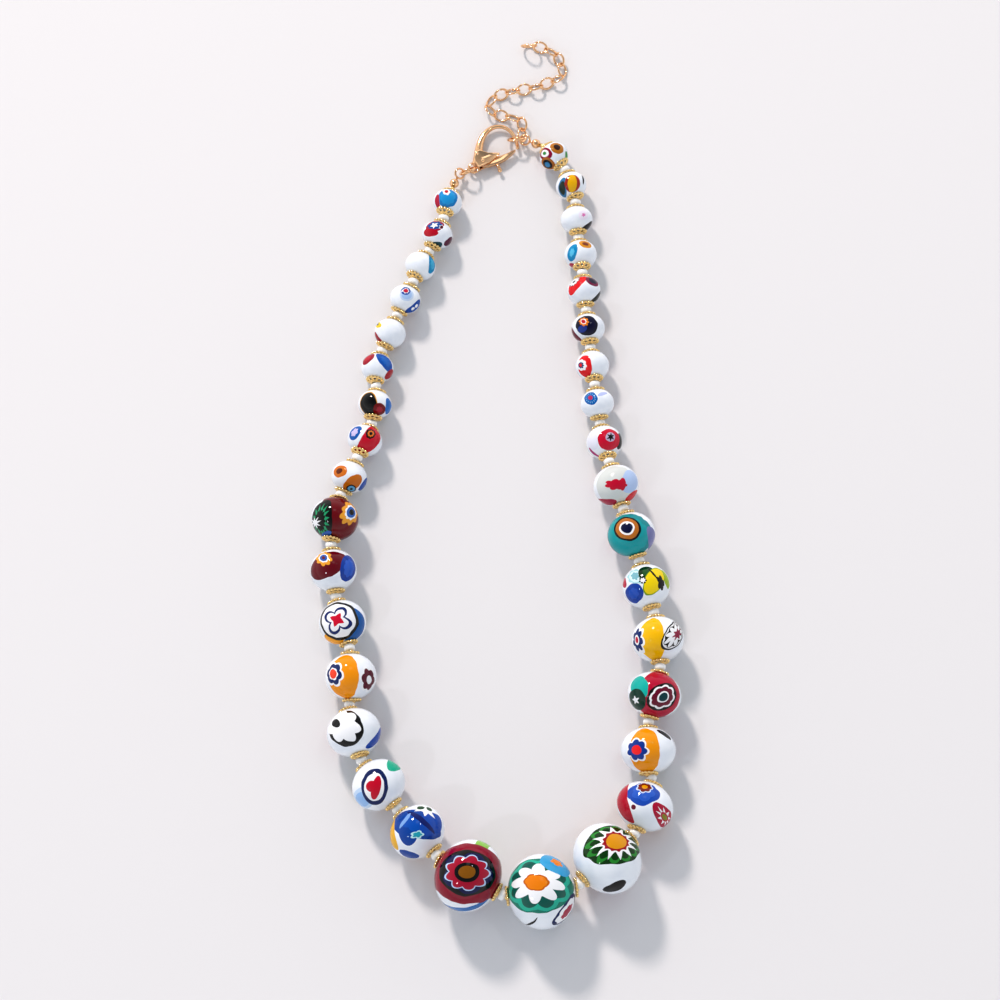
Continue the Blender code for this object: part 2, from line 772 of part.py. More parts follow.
def build_chain(material, parent, plan, turned):
    """Interlocked oval links and an end ring, fused where they bear on each other."""
    ring = plan.right_ring
    hold = ring.point(CHAIN_ON_RING)
    route = Route([(hold.x, hold.y)] + CHAIN_ROUTE, closed=False)
    half_length = (LINK_LENGTH - LINK_WIRE) / 2
    half_width = (LINK_WIDTH - LINK_WIRE) / 2
    pitch = 2 * half_length - LINK_WIRE + LINK_BITE
    rest = half_width * math.sin(LINK_ROLL) + LINK_WIRE / 2
    arc = half_length * math.cos(math.pi / LINK_SEGMENTS) - (LINK_WIRE + RING_WIRE) / 2 - RING_PLAY
    held = ring.tangent(CHAIN_ON_RING)
    first_along = route.heading(arc, pitch / 4)
    first_lean = math.atan(-held.dot(UP.cross(first_along)) / held.z)
    links = []
    for index in range(LINK_COUNT):
        along = route.heading(arc, pitch / 4)
        lean = math.copysign(LINK_ROLL, first_lean) * (-1) ** index
        links.append((route.at(arc) + UP * rest, along, lean, half_length, half_width))
        arc += pitch
    last, along, *_ = links[-1]
    hold = last + along * (pitch - half_length)
    end_radius = (END_RING_DIAMETER - LINK_WIRE) / 2
    along = direction_in_plan(END_RING_HEADING)
    height = end_radius * math.sin(END_RING_LEAN) + LINK_WIRE / 2
    above = height - hold.z
    low = math.asin(above / (end_radius * math.sin(END_RING_LEAN)))
    aside = UP.cross(along) * above / math.tan(END_RING_LEAN)
    centre = hold + along * end_radius * math.cos(low) + UP * above + aside
    links.append((centre, along, END_RING_LEAN, end_radius, end_radius))

    def fill_every_other(first):
        def fill(bm):
            for centre, along, lean, length, width in links[first::2]:
                across = UP.cross(along) * math.cos(lean) + UP * math.sin(lean)
                wire_ring(bm, turned.point(centre), turned.turn @ along, turned.turn @ across,
                          length, width, LINK_WIRE, LINK_SEGMENTS, LINK_SIDES)
        return fill

    chain = mesh_object("extender_chain", material, parent, fill_every_other(0))
    others = mesh_object("other_links", material, None, fill_every_other(1))
    join_solids(chain, [others], "UNION")
    return chain


# Putting it together

def seat_end(strand, route, sense, height):
    """The middle of the gold end bead, an end spacer past the first bead."""
    bead = strand[0]
    start = bead.end_towards_clasp()
    wanted = END_SPACER_LENGTH + END_BEAD / 2

    def slack(reach):
        place = route.at(bead.arc + sense * reach) + UP * height
        return (place - start).length - wanted

    reach = bisect_root(slack, bead.half_length, bead.half_length + 3 * wanted)
    return route.at(bead.arc + sense * reach) + UP * height


def thread_necklace(scale, plan):
    """Seat every bead on the route at a scale, and say how much too long the string is."""
    route = Route(STRING_ROUTE, closed=True, scale=scale)
    centre = Bead(CENTRE_BEAD)
    centre.place(route, 0.0, 1)
    left = thread_strand(LEFT_BEADS, centre, route, 1)
    right = thread_strand(RIGHT_BEADS, centre, route, -1)
    left_end = seat_end(left, route, 1, plan.left_end.z)
    right_end = seat_end(right, route, -1, plan.right_end.z)
    gap = (right_end - left_end).length
    own = (plan.right_end - plan.left_end).length
    return gap - own, (centre, left, right, left_end, right_end)


def fitting_scale(plan):
    """The route's scale at which both strands meet the clasp, sought round a guess from their lengths."""
    beads = [Bead(row) for row in (*LEFT_BEADS, CENTRE_BEAD, *RIGHT_BEADS)]
    length = sum(2 * bead.half_length + SPACER_LENGTH for bead in beads)
    length += (plan.right_end - plan.left_end).length + END_BEAD
    guess = length / Route(STRING_ROUTE, closed=True).length
    return bisect_root(lambda size: thread_necklace(size, plan)[0], 0.9 * guess, 1.1 * guess)


def main():
    for old in list(bpy.data.objects):
        bpy.data.objects.remove(old)
    glass = make_material("opaque_glass", (0.80, 0.84, 0.89), 0.08, 0.0)
    gold = make_material("gold_plate", (0.78, 0.53, 0.20), 0.22, 1.0)
    parent = bpy.data.objects.new("necklace", None)
    bpy.context.collection.objects.link(parent)

    plan = ClaspPlan()
    scale = fitting_scale(plan)
    _, (centre, left, right, left_end, right_end) = thread_necklace(scale, plan)

    turned = Turned(plan, left_end, right_end)
    left_loop = turned.ring(plan.left_loop)
    right_loop = turned.ring(plan.right_loop)
    left_bead = EndBead(left_end, (left_loop.centre - left_end).normalized(), left_loop)
    right_bead = EndBead(right_end, (right_loop.centre - right_end).normalized(), right_loop)

    for number, bead in enumerate(left, 1):
        bead.build(f"bead_left_{number:02d}", glass, parent)
    centre.build("bead_centre", glass, parent)
    for number, bead in enumerate(right, 1):
        bead.build(f"bead_right_{number:02d}", glass, parent)

    build_string("string_left", gold, parent, string_loops(left, centre, 1, left_bead))
    build_string("string_right", gold, parent, string_loops(right, centre, -1, right_bead))
    left_bead.build("end_bead_left", gold, parent)
    right_bead.build("end_bead_right", gold, parent)
    mesh_object("jump_ring_left", gold, parent, turned.ring(plan.left_ring).fill)
    mesh_object("jump_ring_right", gold, parent, turned.ring(plan.right_ring).fill)

    frame = build_clasp_frame(gold)
    frame.location = turned.origin
    frame.rotation_euler = (0, 0, turned.angle)
    frame.parent = parent
    lever = build_lever(gold)
    lever.location = turned.point(Vector((PIVOT_U, PIVOT_V, 0)))
    lever.rotation_euler = (0, 0, turned.angle)
    lever.parent = parent
    build_chain(gold, parent, plan, turned)

    centre_on_origin(parent)


def centre_on_origin(parent):
    """Move the whole necklace so that its box stands over the origin."""
    bpy.context.view_layer.update()
    corners = [child.matrix_world @ vertex.co for child in parent.children for vertex in child.data.vertices]
    for axis in (0, 1):
        values = [corner[axis] for corner in corners]
        parent.location[axis] = -(min(values) + max(values)) / 2
    parent.location.z = -min(corner.z for corner in corners)


main()
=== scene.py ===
"""Dresses the beaded necklace: mosaic-glass beads, openwork caps, seed beads, clasp and extender chain."""

import json
import math
import random
from bisect import bisect

import bpy
import numpy as np
from mathutils import Matrix, Vector


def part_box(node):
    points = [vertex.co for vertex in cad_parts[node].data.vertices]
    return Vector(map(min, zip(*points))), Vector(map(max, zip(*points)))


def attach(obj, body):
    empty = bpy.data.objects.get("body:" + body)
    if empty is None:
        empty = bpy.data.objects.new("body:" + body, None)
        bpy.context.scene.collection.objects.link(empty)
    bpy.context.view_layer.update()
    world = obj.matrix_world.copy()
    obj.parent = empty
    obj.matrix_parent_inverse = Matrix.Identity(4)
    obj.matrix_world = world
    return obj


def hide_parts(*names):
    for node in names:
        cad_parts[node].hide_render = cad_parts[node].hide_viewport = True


MM = 0.001
UP = Vector((0, 0, 1))

# Camera: 73 degrees above the surface, looking along +Y, as in the photograph
CAMERA_TARGET = Vector((0.0010, -0.0094, 0.0))
CAMERA_ELEVATION = math.radians(73)
CAMERA_DISTANCE = 0.6154
CAMERA_LENS = 86.4

# Hardware sizes in millimetres
HOLE_RADIUS = 0.65
CAP_PETALS, CAP_HEIGHT = 8, 0.40
CAP_LOOP, CAP_LOOP_WIRE, CAP_LOOP_REACH = 0.5, 0.19, 1.52
CAP_GRAIN, CAP_GRAIN_REACH = 0.37, 2.08
CAP_COLLARS = ((1.0, 0.2, 0.36), (0.74, 0.19, 0.6))
CAP_SIZE_STEP = 1.6
SEED_RADIUS, SEED_LENGTH, SEED_ROUNDING = 1.4, 1.6, 0.72
WIRE_RADIUS = 0.3
END_TUBE_RADIUS = 0.6
END_BEAD_RADIUS = 1.25
LOOP_RADIUS, LOOP_WIRE, LOOP_NECK = 1.325, 0.55, 0.3
EYE_RADIUS, EYE_WIRE = 1.325, 0.65
LINK_LENGTH, LINK_WIDTH, LINK_WIRE = 4.2, 3.4, 0.55
CLASP_THICKNESS = 2.8
CHEEK_THICKNESS, CHEEK_ROUNDING, CHEEK_SINK = 0.5, 0.2, -0.1
LEVER_THICKNESS, LEVER_ROUNDING, LEVER_CROWN = 1.2, 0.45, 0.2
CHEEK_RIM = 0.3
RIVET_RADIUS, RIVET_LENGTH, RIVET_HEIGHT = 0.45, 0.8, 0.35
KNOB_RADIUS, STEM_RADIUS, STEM_LENGTH = 0.58, 0.42, 2.4
KNOB_PLACE, STEM_PLACE = (3.0, -4.1), (3.1, -3.0)
CAP_TILT_REACH, CAP_RIM, SEED_STRETCH = 1.7, 0.6, 1.25
RING_DIAMETER, RING_WIRE, RING_TILT = 5.0, 0.7, 58
END_HOLE_RADIUS, LOOP_NECK_LENGTH = 0.6, 0.6

# Headings in the clasp's plan, in degrees: out of the eye or hook to the ring, and from a loop to its bead
RING_HEADINGS = {"left": -182, "right": -18}
END_HEADINGS = {"left": -144, "right": -48}

# Extender chain: how it hangs and turns, angles in degrees
LINK_COUNT, LINK_BITE, LINK_ROLL, LINK_PLAY = 16, 0.1, 42, 0.4
LINK_SEGMENTS, ROUTE_STEPS = 10, 24
CHAIN_ON_RING = 38
CHAIN_END_DIAMETER, CHAIN_END_HEADING, CHAIN_END_LEAN = 4.6, 155, 70

# The chain's way over the surface, from the right ring, in the clasp's plan: the same points as the CAD's
CHAIN_ROUTE = [
    (17.4, 5.8), (15.8, 8.6), (13.2, 10.7), (11.6, 13.4), (13.7, 15.8), (16.9, 15.9), (20.0, 15.3),
    (23.2, 14.3), (26.5, 13.6), (29.7, 13.3), (33.1, 13.5), (34.8, 16.1), (34.9, 19.4), (33.5, 22.3),
    (31.3, 24.6), (29.1, 26.9), (27.4, 30.0),
]

# Cane slices on each bead, as seen from the camera. Each slice: across, up, half width and half height in
# bead radii, tilt in degrees, and its rings from the outside in. Each ring: size as a share of the slice,
# colour, then optionally how many petals, how deep they are cut (below zero for a star's points) and turn.
WHITE, INK = "F4F6FA", "12151C"
SLICES = {
    "left_01": [
        (0, .4, .68, .6, 0, [(1, "1583C6"), (.8, "2A9AD8", 9, .12)]),
        (-.1, .76, .26, .22, 0, [(1, WHITE, 6, .2), (.5, "C02030")]),
        (-.77, .06, .15, .5, 0, [(1, "B52040")]),
    ],
    "left_02": [
        (-.2, .62, .6, .36, 20, [(1, "A81C34"), (.86, "1E4F9A", 7, .3), (.5, WHITE, 5, -.5)]),
        (-.49, .16, .47, .26, 0, [(1, "B81830")]),
        (.28, .5, .2, .18, 0, [(1, WHITE, 6, -.4), (.55, "5A1A2A")]),
        (-.24, -.83, .5, .22, 0, [(1, "0F4A55"), (.4, "D9A53F")]),
        (.77, -.45, .37, .16, 55, [(1, "5A1A3A")]),
    ],
    "left_03": [(.8, .15, .2, .6, 0, [(1, "1F8FC0"), (.6, "3FB0DA", 8, .15)])],
    "left_04": [
        (.1, .3, .45, .38, 0, [(1, "C9DAF2"), (.75, "A9C6EE")]),
        (.02, .56, .3, .26, 0, [(1, "2B4FA0"), (.7, WHITE, 7, .25), (.5, "C02A45")]),
        (.62, -.55, .62, .2, 45, [(1, "1B4FA8")]),
        (.5, -.62, .12, .07, 45, [(1, WHITE)]),
        (.72, -.42, .14, .07, 60, [(1, WHITE)]),
    ],
    "left_05": [
        (-.8, .55, .2, .12, 50, [(1, "E0C52A"), (.4, INK)]),
        (-.82, -.48, .12, .55, 32, [(1, "A01C30")]),
    ],
    "left_06": [
        (-.62, .6, .45, .2, 45, [(1, "A01F30"), (.6, "B82838", 8, .2)]),
        (.52, .45, .68, .3, -50, [(1, "1558B0"), (.6, "2468BE", 9, .2)]),
        (.8, -.42, .38, .16, 62, [(1, "A8202F")]),
    ],
    "left_07": [
        (-.46, .05, .5, .72, 0, [(1, "D99A2B"), (.93, "120A0A")]),
        (.3, -.3, .35, .38, 0, [(1, "7A1420"), (.5, "A82838", 7, .2)]),
        (.85, -.1, .17, .5, 0, [(1, "2A6FBF")]),
    ],
    "left_08": [
        (.4, .11, .5, .85, -30, [(1, "C81F35")]),
        (.33, .4, .3, .28, 0, [(1, INK, 8, .12), (.7, "D9762A", 8, .2), (.35, INK)]),
        (-.6, .47, .45, .25, 50, [(1, "1F5FAE"), (.6, "C9BFE6", 6, .25)]),
    ],
    "left_09": [
        (-.57, .34, .38, .3, 30, [(1, "D2762A"), (.45, "6A3216")]),
        (.23, -.36, .6, .35, 40, [(1, "C8701F")]),
        (.13, -.69, .27, .22, 0, [(1, INK), (.75, "6FB4E0"), (.3, INK)]),
        (.86, -.42, .11, .42, -28, [(1, "244FA5")]),
    ],
    "left_10": [
        (.3, .08, .9, .98, 0, [(1, "6E1C22")]),
        (.7, .3, .36, .5, 0, [(1, "E8A33A", 9, .18), (.66, WHITE, 9, .12), (.5, "2F62B4"), (.28, INK)]),
        (-.66, -.1, .42, .85, 0, [(1, "0C1F1C"), (.85, "2E9E6E", 14, -.35), (.55, "0C1F1C", 14, .2)]),
        (-.84, -.19, .2, .25, 0, [(1, WHITE, 8, -.55)]),
        (-.38, -.7, .22, .12, 20, [(1, "2F62B4")]),
    ],
    "left_11": [
        (-.36, .3, .84, .52, 30, [(1, "6A1A26")]),
        (-.45, .55, .36, .32, 0, [(1, "E8A33A", 8, .2), (.62, WHITE, 8, .1), (.46, "2B5AAE"),
                                  (.22, "6A1A26")]),
        (.69, .15, .33, .55, 0, [(1, "1E44A0"), (.7, "2F5FC4", 8, .15)]),
    ],
    "left_12": [
        (.5, -.1, .55, .7, 0, [(1, "1B5FA8")]),
        (-.37, -.72, .42, .3, 0, [(1, "F5A81E")]),
        (-.24, .12, .8, .8, 0, [(1, INK), (.88, WHITE), (.76, "22306B", 4, .45, 45), (.6, WHITE, 4, .5, 45),
                                (.4, "D0203C", 4, -.45, 135)]),
    ],
    "left_13": [
        (-.37, 0, .58, .83, 0, [(1, "F0991A")]),
        (-.7, .1, .34, .5, 0, [(1, WHITE, 6, .2), (.84, "1E2F66", 6, .2), (.5, WHITE, 6, .15),
                               (.38, "E8452B")]),
        (.72, -.1, .3, .52, 0, [(1, WHITE, 6, .22), (.84, "5E1A30", 6, .22), (.3, WHITE)]),
    ],
    "left_14": [
        (-.4, .22, .63, .65, 0, [(1, INK)]),
        (-.5, .31, .6, .6, 0, [(1, WHITE, 7, .2)]),
        (-.68, .33, .16, .16, 0, [(1, INK)]),
        (.88, -.24, .11, .45, -28, [(1, "1A4AA8")]),
    ],
    "left_15": [
        (-.6, -.55, .4, .4, 0, [(1, "C4DBF6"), (.7, "9CC3F2")]),
        (-.17, -.1, .48, .66, 0, [(1, "142A5E"), (.76, WHITE)]),
        (-.1, -.13, .17, .42, -12, [(1, "C61B35")]),
        (-.27, -.06, .19, .2, 25, [(1, "C61B35")]),
        (.58, .77, .27, .15, -30, [(1, "19B090")]),
    ],
    "left_16": [
        (-.35, -.05, .32, .45, 10, [(1, "174A9E")]),
        (-.1, .32, .85, .5, -12, [(1, "174A9E"), (.6, "1C55B2", 5, .3)]),
        (.55, .3, .4, .42, 0, [(1, "1F4FAE")]),
        (.15, .42, .6, .09, -38, [(1, "14286A")]),
        (-.45, .4, .32, .06, 55, [(1, "7FA8E0")]),
        (.3, .8, .5, .2, -22, [(1, WHITE, 7, -.5)]),
        (.1, .86, .14, .06, 0, [(1, "1C4A2A")]),
        (.42, .8, .12, .05, -30, [(1, "1C4A2A")]),
        (0, -.12, .26, .15, 10, [(1, "BFE6EC", 5, .3), (.7, "2FA3B5", 5, .3)]),
        (-.94, -.1, .1, .55, 10, [(1, "E6B02C")]),
        (-.3, -.84, .36, .11, -22, [(1, "174A9E")]),
    ],
    "left_17": [
        (-.1, -.93, .7, .05, 0, [(1, "2F6FB4")]),
        (.47, .9, .24, .12, 0, [(1, "8BC34A")]),
        (-.03, .1, .99, .8, 0, [(1, "8E1A33"), (.76, INK), (.7, "14204E", 5, .2)]),
        (-.03, .1, .64, .48, 0, [(1, "B9D4F4", 9, .2), (.93, "A51A38", 9, .2), (.52, INK), (.34, "8A5A1E")]),
    ],
    "centre": [
        (-.13, .24, .87, .72, 0, [(1, "0F7F6C"), (.97, "2BB39A", 8, .1, 90), (.88, "0B5F55", 8, .2, 90),
                                  (.5, WHITE)]),
        (-.14, .25, .72, .52, 0, [(1, WHITE, 8, .34)]),
        (-.16, .25, .36, .23, 0, [(1, "C2671B", 6, .1), (.86, "E8861E", 6, .1)]),
        (.42, .78, .45, .2, -25, [(1, "3FA3D6"), (.4, "E8861E", 5, .3)]),
        (.7, -.56, .5, .15, 50, [(1, "1E2A5A"), (.84, WHITE, 7, .12), (.5, "A8324A", 7, .2)]),
        (-.3, -.86, .2, .025, 30, [(1, INK)]),
    ],
    "right_17": [
        (.26, .48, .76, .52, 0, [(1, "14401C"), (.98, "2F8A35", 12, .2), (.86, "14401C", 12, .2),
                                 (.86, WHITE, 12, -.4), (.53, "9C1627", 12, -.14), (.38, "D9971C")]),
        (.2, -.8, .33, .12, 27, [(1, "0C100E")]),
    ],
    "right_16": [
        (-.05, .5, .58, .4, 0, [(1, "2A54B5", 4, .1), (.7, "3562C4", 5, .2)]),
        (0, .7, .3, .2, 0, [(1, "C9D6EE", 7, .2), (.8, "7A2A22", 7, .2), (.3, "D9971C")]),
        (-.83, .17, .2, .65, 0, [(1, "B51F35")]),
        (-.4, -.03, .14, .13, 0, [(1, WHITE), (.6, "6E1635")]),
        (.69, -.38, .26, .46, 22, [(1, "B11D3E"), (.8, WHITE, 9, -.5), (.4, "B11D3E"), (.26, "8A8A2A")]),
    ],
    "right_15": [
        (-.16, -.02, .55, .8, 0, [(1, "EE9A1C")]),
        (-.44, .02, .42, .44, 0, [(1, WHITE, 7, .2), (.86, "1F3F94", 7, .22), (.4, "EE2B2E")]),
        (.62, .62, .3, .08, -40, [(1, INK)]),
    ],
    "right_14": [
        (.28, 0, .75, .85, 0, [(1, "B3173C")]),
        (.32, -.1, .58, .46, 40, [(1, INK), (.88, WHITE, 8, .12), (.74, "6E1635", 8, .12), (.4, WHITE),
                                  (.3, "15444A")]),
        (-.6, .32, .33, .42, 0, [(1, "12B0A6")]),
        (-.73, -.2, .3, .4, 0, [(1, "0F3F33"), (.45, WHITE, 5, -.5)]),
    ],
    "right_13": [
        (-.26, .03, .48, .8, 0, [(1, "F2BE12")]),
        (-.8, 0, .24, .55, 0, [(1, WHITE, 7, .25), (.8, "1E3370", 7, .3), (.36, WHITE), (.24, "C02A45")]),
        (.68, .18, .34, .56, -22, [(1, INK), (.9, WHITE), (.85, INK, 9, .1), (.82, WHITE, 9, .4)]),
        (.76, .2, .17, .27, -22, [(1, "8E2344", 7, -.45)]),
    ],
    "right_12": [
        (-.47, .45, .37, .34, 0, [(1, "A9D8DF", 8, .2), (.7, "D6EEF2"), (.5, "7FB6C4", 6, .3)]),
        (.02, .6, .34, .3, 0, [(1, "1E3B20"), (.6, "2C5A30", 5, .3)]),
        (.86, .32, .1, .42, 20, [(1, "9DB81E")]),
        (.38, .28, .4, .6, -28, [(1, "7FA01E"), (.93, "F0D51B")]),
        (.62, .16, .15, .34, 14, [(1, INK, 5, .3)]),
        (.3, .55, .3, .04, -50, [(1, INK)]),
        (-.13, .27, .17, .15, 0, [(1, INK, 7, .3), (.85, WHITE, 7, -.4)]),
        (-.56, -.3, .36, .42, 0, [(1, "1F46A3"), (.6, "2A56B8", 7, .2)]),
        (-.93, .2, .08, .22, 0, [(1, "B11D3E")]),
    ],
    "right_11": [
        (-.26, -.06, .93, .88, 0, [(1, "0E8C94"), (.9, "12A0A6", 12, .06)]),
        (-.19, .28, .55, .5, 0, [(1, INK), (.86, "B9722E"), (.56, WHITE), (.42, "0F1F42")]),
        (.9, -.2, .14, .5, 0, [(1, "7C7FB0")]),
    ],
    "right_10": [
        (0, 0, .84, .84, 0, [(1, "D5DAD9")]),
        (.69, .2, .35, .5, 0, [(1, "B5CBEF")]),
        (0, .05, .5, .25, 0, [(1, "C21E3A", 7, .25)]),
        (.3, .06, .14, .28, 0, [(1, "C21E3A")]),
        (-.45, -.78, .4, .13, -14, [(1, "A71C40")]),
        (.78, -.52, .12, .36, -40, [(1, "D02B35")]),
    ],
    "right_09": [
        (-.7, .1, .3, .5, 0, [(1, "E4E6F4")]),
        (.93, .07, .12, .45, 0, [(1, INK)]),
        (.34, .21, .6, .58, 0, [(1, "C9203C")]),
        (.37, .3, .27, .25, 0, [(1, "BDB2CC"), (.9, INK, 6, -.55)]),
        (-.62, -.6, .4, .06, -45, [(1, "B03A78")]),
    ],
    "right_08": [
        (-.42, .36, .4, .38, 0, [(1, "2067B0"), (.85, "8FC0EA", 14, -.45), (.6, "2067B0"), (.35, "B8345C")]),
        (.35, .6, .3, .1, 10, [(1, "B9C4EE")]),
    ],
    "right_07": [
        (-.53, -.02, .4, .65, 0, [(1, "E2262C")]),
        (-.7, .05, .3, .34, 0, [(1, WHITE, 8, .15), (.6, "22306B", 8, .3), (.3, "E2262C")]),
    ],
    "right_06": [
        (-.86, -.4, .1, .5, 30, [(1, "6B1E35")]),
        (-.11, .25, .64, .58, 0, [(1, "10142C"), (.9, "171C38", 7, .1)]),
        (-.36, 0, .28, .22, 30, [(1, "2A3F8F")]),
        (-.26, .44, .3, .26, 0, [(1, "E8861E", 8, .25), (.6, WHITE, 8, .2), (.42, "C02A35")]),
    ],
    "right_05": [
        (-.5, .5, .74, .27, 45, [(1, "E3272E")]),
        (-.6, .6, .4, .16, 45, [(1, INK, 9, .25), (.88, WHITE, 9, .3), (.3, INK)]),
        (.56, .63, .42, .22, -35, [(1, "7A1F45"), (.6, "23213A")]),
        (.84, -.4, .46, .1, 55, [(1, "14231C")]),
    ],
    "right_04": [
        (-.54, .15, .55, .27, 70, [(1, "1E8FC4"), (.5, "5CC0E6", 7, .2)]),
        (.32, .68, .4, .2, -20, [(1, "D9952E"), (.5, "7E3A22")]),
        (-.54, -.74, .25, .12, -35, [(1, "B02B48")]),
    ],
    "right_03": [
        (.45, .32, .3, .28, 0, [(1, "ECE6F4"), (.5, "D77BB5", 6, -.5)]),
        (.76, -.5, .45, .14, 50, [(1, "1C1F22")]),
    ],
    "right_02": [
        (-.6, -.15, .25, .65, 0, [(1, "3C7AA8"), (.7, "2B3A33")]),
        (.09, .18, .5, .55, 0, [(1, "A3342B"), (.9, "A3342B")]),
        (.09, .18, .3, .56, 0, [(1, "E9B417")]),
        (.8, .4, .05, .3, 10, [(1, INK)]),
    ],
    "right_01": [
        (.23, .61, .47, .34, -20, [(1, "B5752A"), (.5, "3A2216")]),
        (-.65, .2, .42, .4, 0, [(1, "8E1B3E"), (.62, WHITE), (.3, "3F8F4A")]),
        (-.46, -.58, .5, .35, -45, [(1, "B06A2C"), (.7, INK), (.42, "3E86B8")]),
        (.93, -.1, .08, .4, 0, [(1, "3F8F4A")]),
    ],
}

# Cane patterns for the sides of the beads that the photograph doesn't show
HIDDEN_CANES = [
    [(1, "1E44A0"), (.75, WHITE, 8, .18), (.45, "C02A35")],
    [(1, "B3173C"), (.7, WHITE, 7, .2), (.4, "1F3F94")],
    [(1, "F0991A"), (.6, "1E2F66", 6, .22), (.25, WHITE)],
    [(1, "12917A"), (.75, WHITE, 9, .18), (.35, "E8861E")],
    [(1, INK), (.86, WHITE, 8, .12), (.4, "6E1635", 6, .2)],
    [(1, "1F8FC0"), (.55, "F2BE12", 6, .2)],
]


# Small tools

def linear(hex_colour):
    """sRGB hex to the linear colour that shaders use."""
    channels = [int(hex_colour[i:i + 2], 16) / 255 for i in (0, 2, 4)]
    return (*[c / 12.92 if c <= 0.04045 else ((c + 0.055) / 1.055) ** 2.4 for c in channels], 1)


def cane_colour(hex_colour):
    """A cane's colour as it looks under the light, less the sheen that its gloss lays over it."""
    sheen, strength = 0.012, 0.90
    return (*[max(c - sheen, 0) * strength for c in linear(hex_colour)[:3]], 1)


def add_node(tree, kind, values=(), **settings):
    """Add a node, set its settings, and give its inputs a value or a link each."""
    node = tree.nodes.new(kind)
    for key, value in settings.items():
        setattr(node, key, value)
    for key, value in dict(values).items():
        if isinstance(value, bpy.types.NodeSocket):
            tree.links.new(value, node.inputs[key])
        else:
            node.inputs[key].default_value = value
    return node


def deselect_all():
    """Leave edit mode and drop the selection, since operators act on all that is selected."""
    if bpy.context.object and bpy.context.object.mode != "OBJECT":
        bpy.ops.object.mode_set(mode="OBJECT")
    bpy.ops.object.select_all(action="DESELECT")


def fix_in_place(obj, matrix):
    """Put a piece in its place in the necklace and write that place into its mesh."""
    deselect_all()
    obj.matrix_world = matrix
    obj.select_set(True)
    bpy.context.view_layer.objects.active = obj
    bpy.ops.object.transform_apply(location=True, rotation=True, scale=True)
    return obj


def copy_of(master, name):
    """A copy of a modelled piece with a mesh of its own."""
    obj = master.copy()
    obj.data = master.data.copy()
    obj.name = obj.data.name = name
    bpy.context.collection.objects.link(obj)
    return obj


def join_pieces(name, pieces):
    """Join pieces into one named mesh, each first written into its place."""
    deselect_all()
    for piece in pieces:
        piece.select_set(True)
    bpy.context.view_layer.objects.active = pieces[0]
    bpy.ops.object.transform_apply(location=True, rotation=True, scale=True)
    if len(pieces) > 1:
        bpy.ops.object.join()
    pieces[0].name = pieces[0].data.name = name
    return pieces[0]


def dress(obj, material, nodes, body="necklace"):
    """Finish a piece: its material, smooth shading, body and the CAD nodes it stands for."""
    obj.data.materials.clear()
    obj.data.materials.append(material)
    obj.data.shade_smooth()
    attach(obj, body)
    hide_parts(*nodes)


def along_axis(axis, centre, scale=(1, 1, 1)):
    """Matrix that stands a piece's Z along an axis at a place, in metres."""
    turn = axis.to_track_quat("Z", "Y").to_matrix().to_4x4()
    return Matrix.Translation(centre) @ turn @ Matrix.Diagonal((*scale, 1))


def ring_matrix(centre, along, lean):
    """Matrix of a flat ring drawn in millimetres: its X lies along a level direction, its Y leans up."""
    level = UP.cross(along)
    across = level * math.cos(math.radians(lean)) + UP * math.sin(math.radians(lean))
    turn = Matrix((along, across, along.cross(across))).transposed().to_4x4()
    return Matrix.Translation(centre) @ turn @ Matrix.Scale(MM, 4)


def node_points(node):
    """The corners of a CAD node's mesh, each once, in metres."""
    points = np.array([v.co for v in frame["nodes"][node].data.vertices], float)
    return np.unique(np.round(points, 7), axis=0)


# Materials

def plated_gold(name, colour, roughness):
    """Brass, polished and plated with gold: bright and mirror-like, with soft blur."""
    material = bpy.data.materials.new(name)
    material.use_nodes = True
    shader = material.node_tree.nodes["Principled BSDF"]
    shader.inputs["Base Color"].default_value = linear(colour)
    shader.inputs["Metallic"].default_value = 1.0
    shader.inputs["Roughness"].default_value = roughness
    return material


def seed_glass():
    """Opaque white glass, drawn as tube, cut and tumbled: an even white with small soft highlights."""
    material = bpy.data.materials.new("white_seed_glass_tumbled")
    material.use_nodes = True
    shader = material.node_tree.nodes["Principled BSDF"]
    shader.inputs["Base Color"].default_value = linear("EEF0F2")
    shader.inputs["Roughness"].default_value = 0.12
    return material


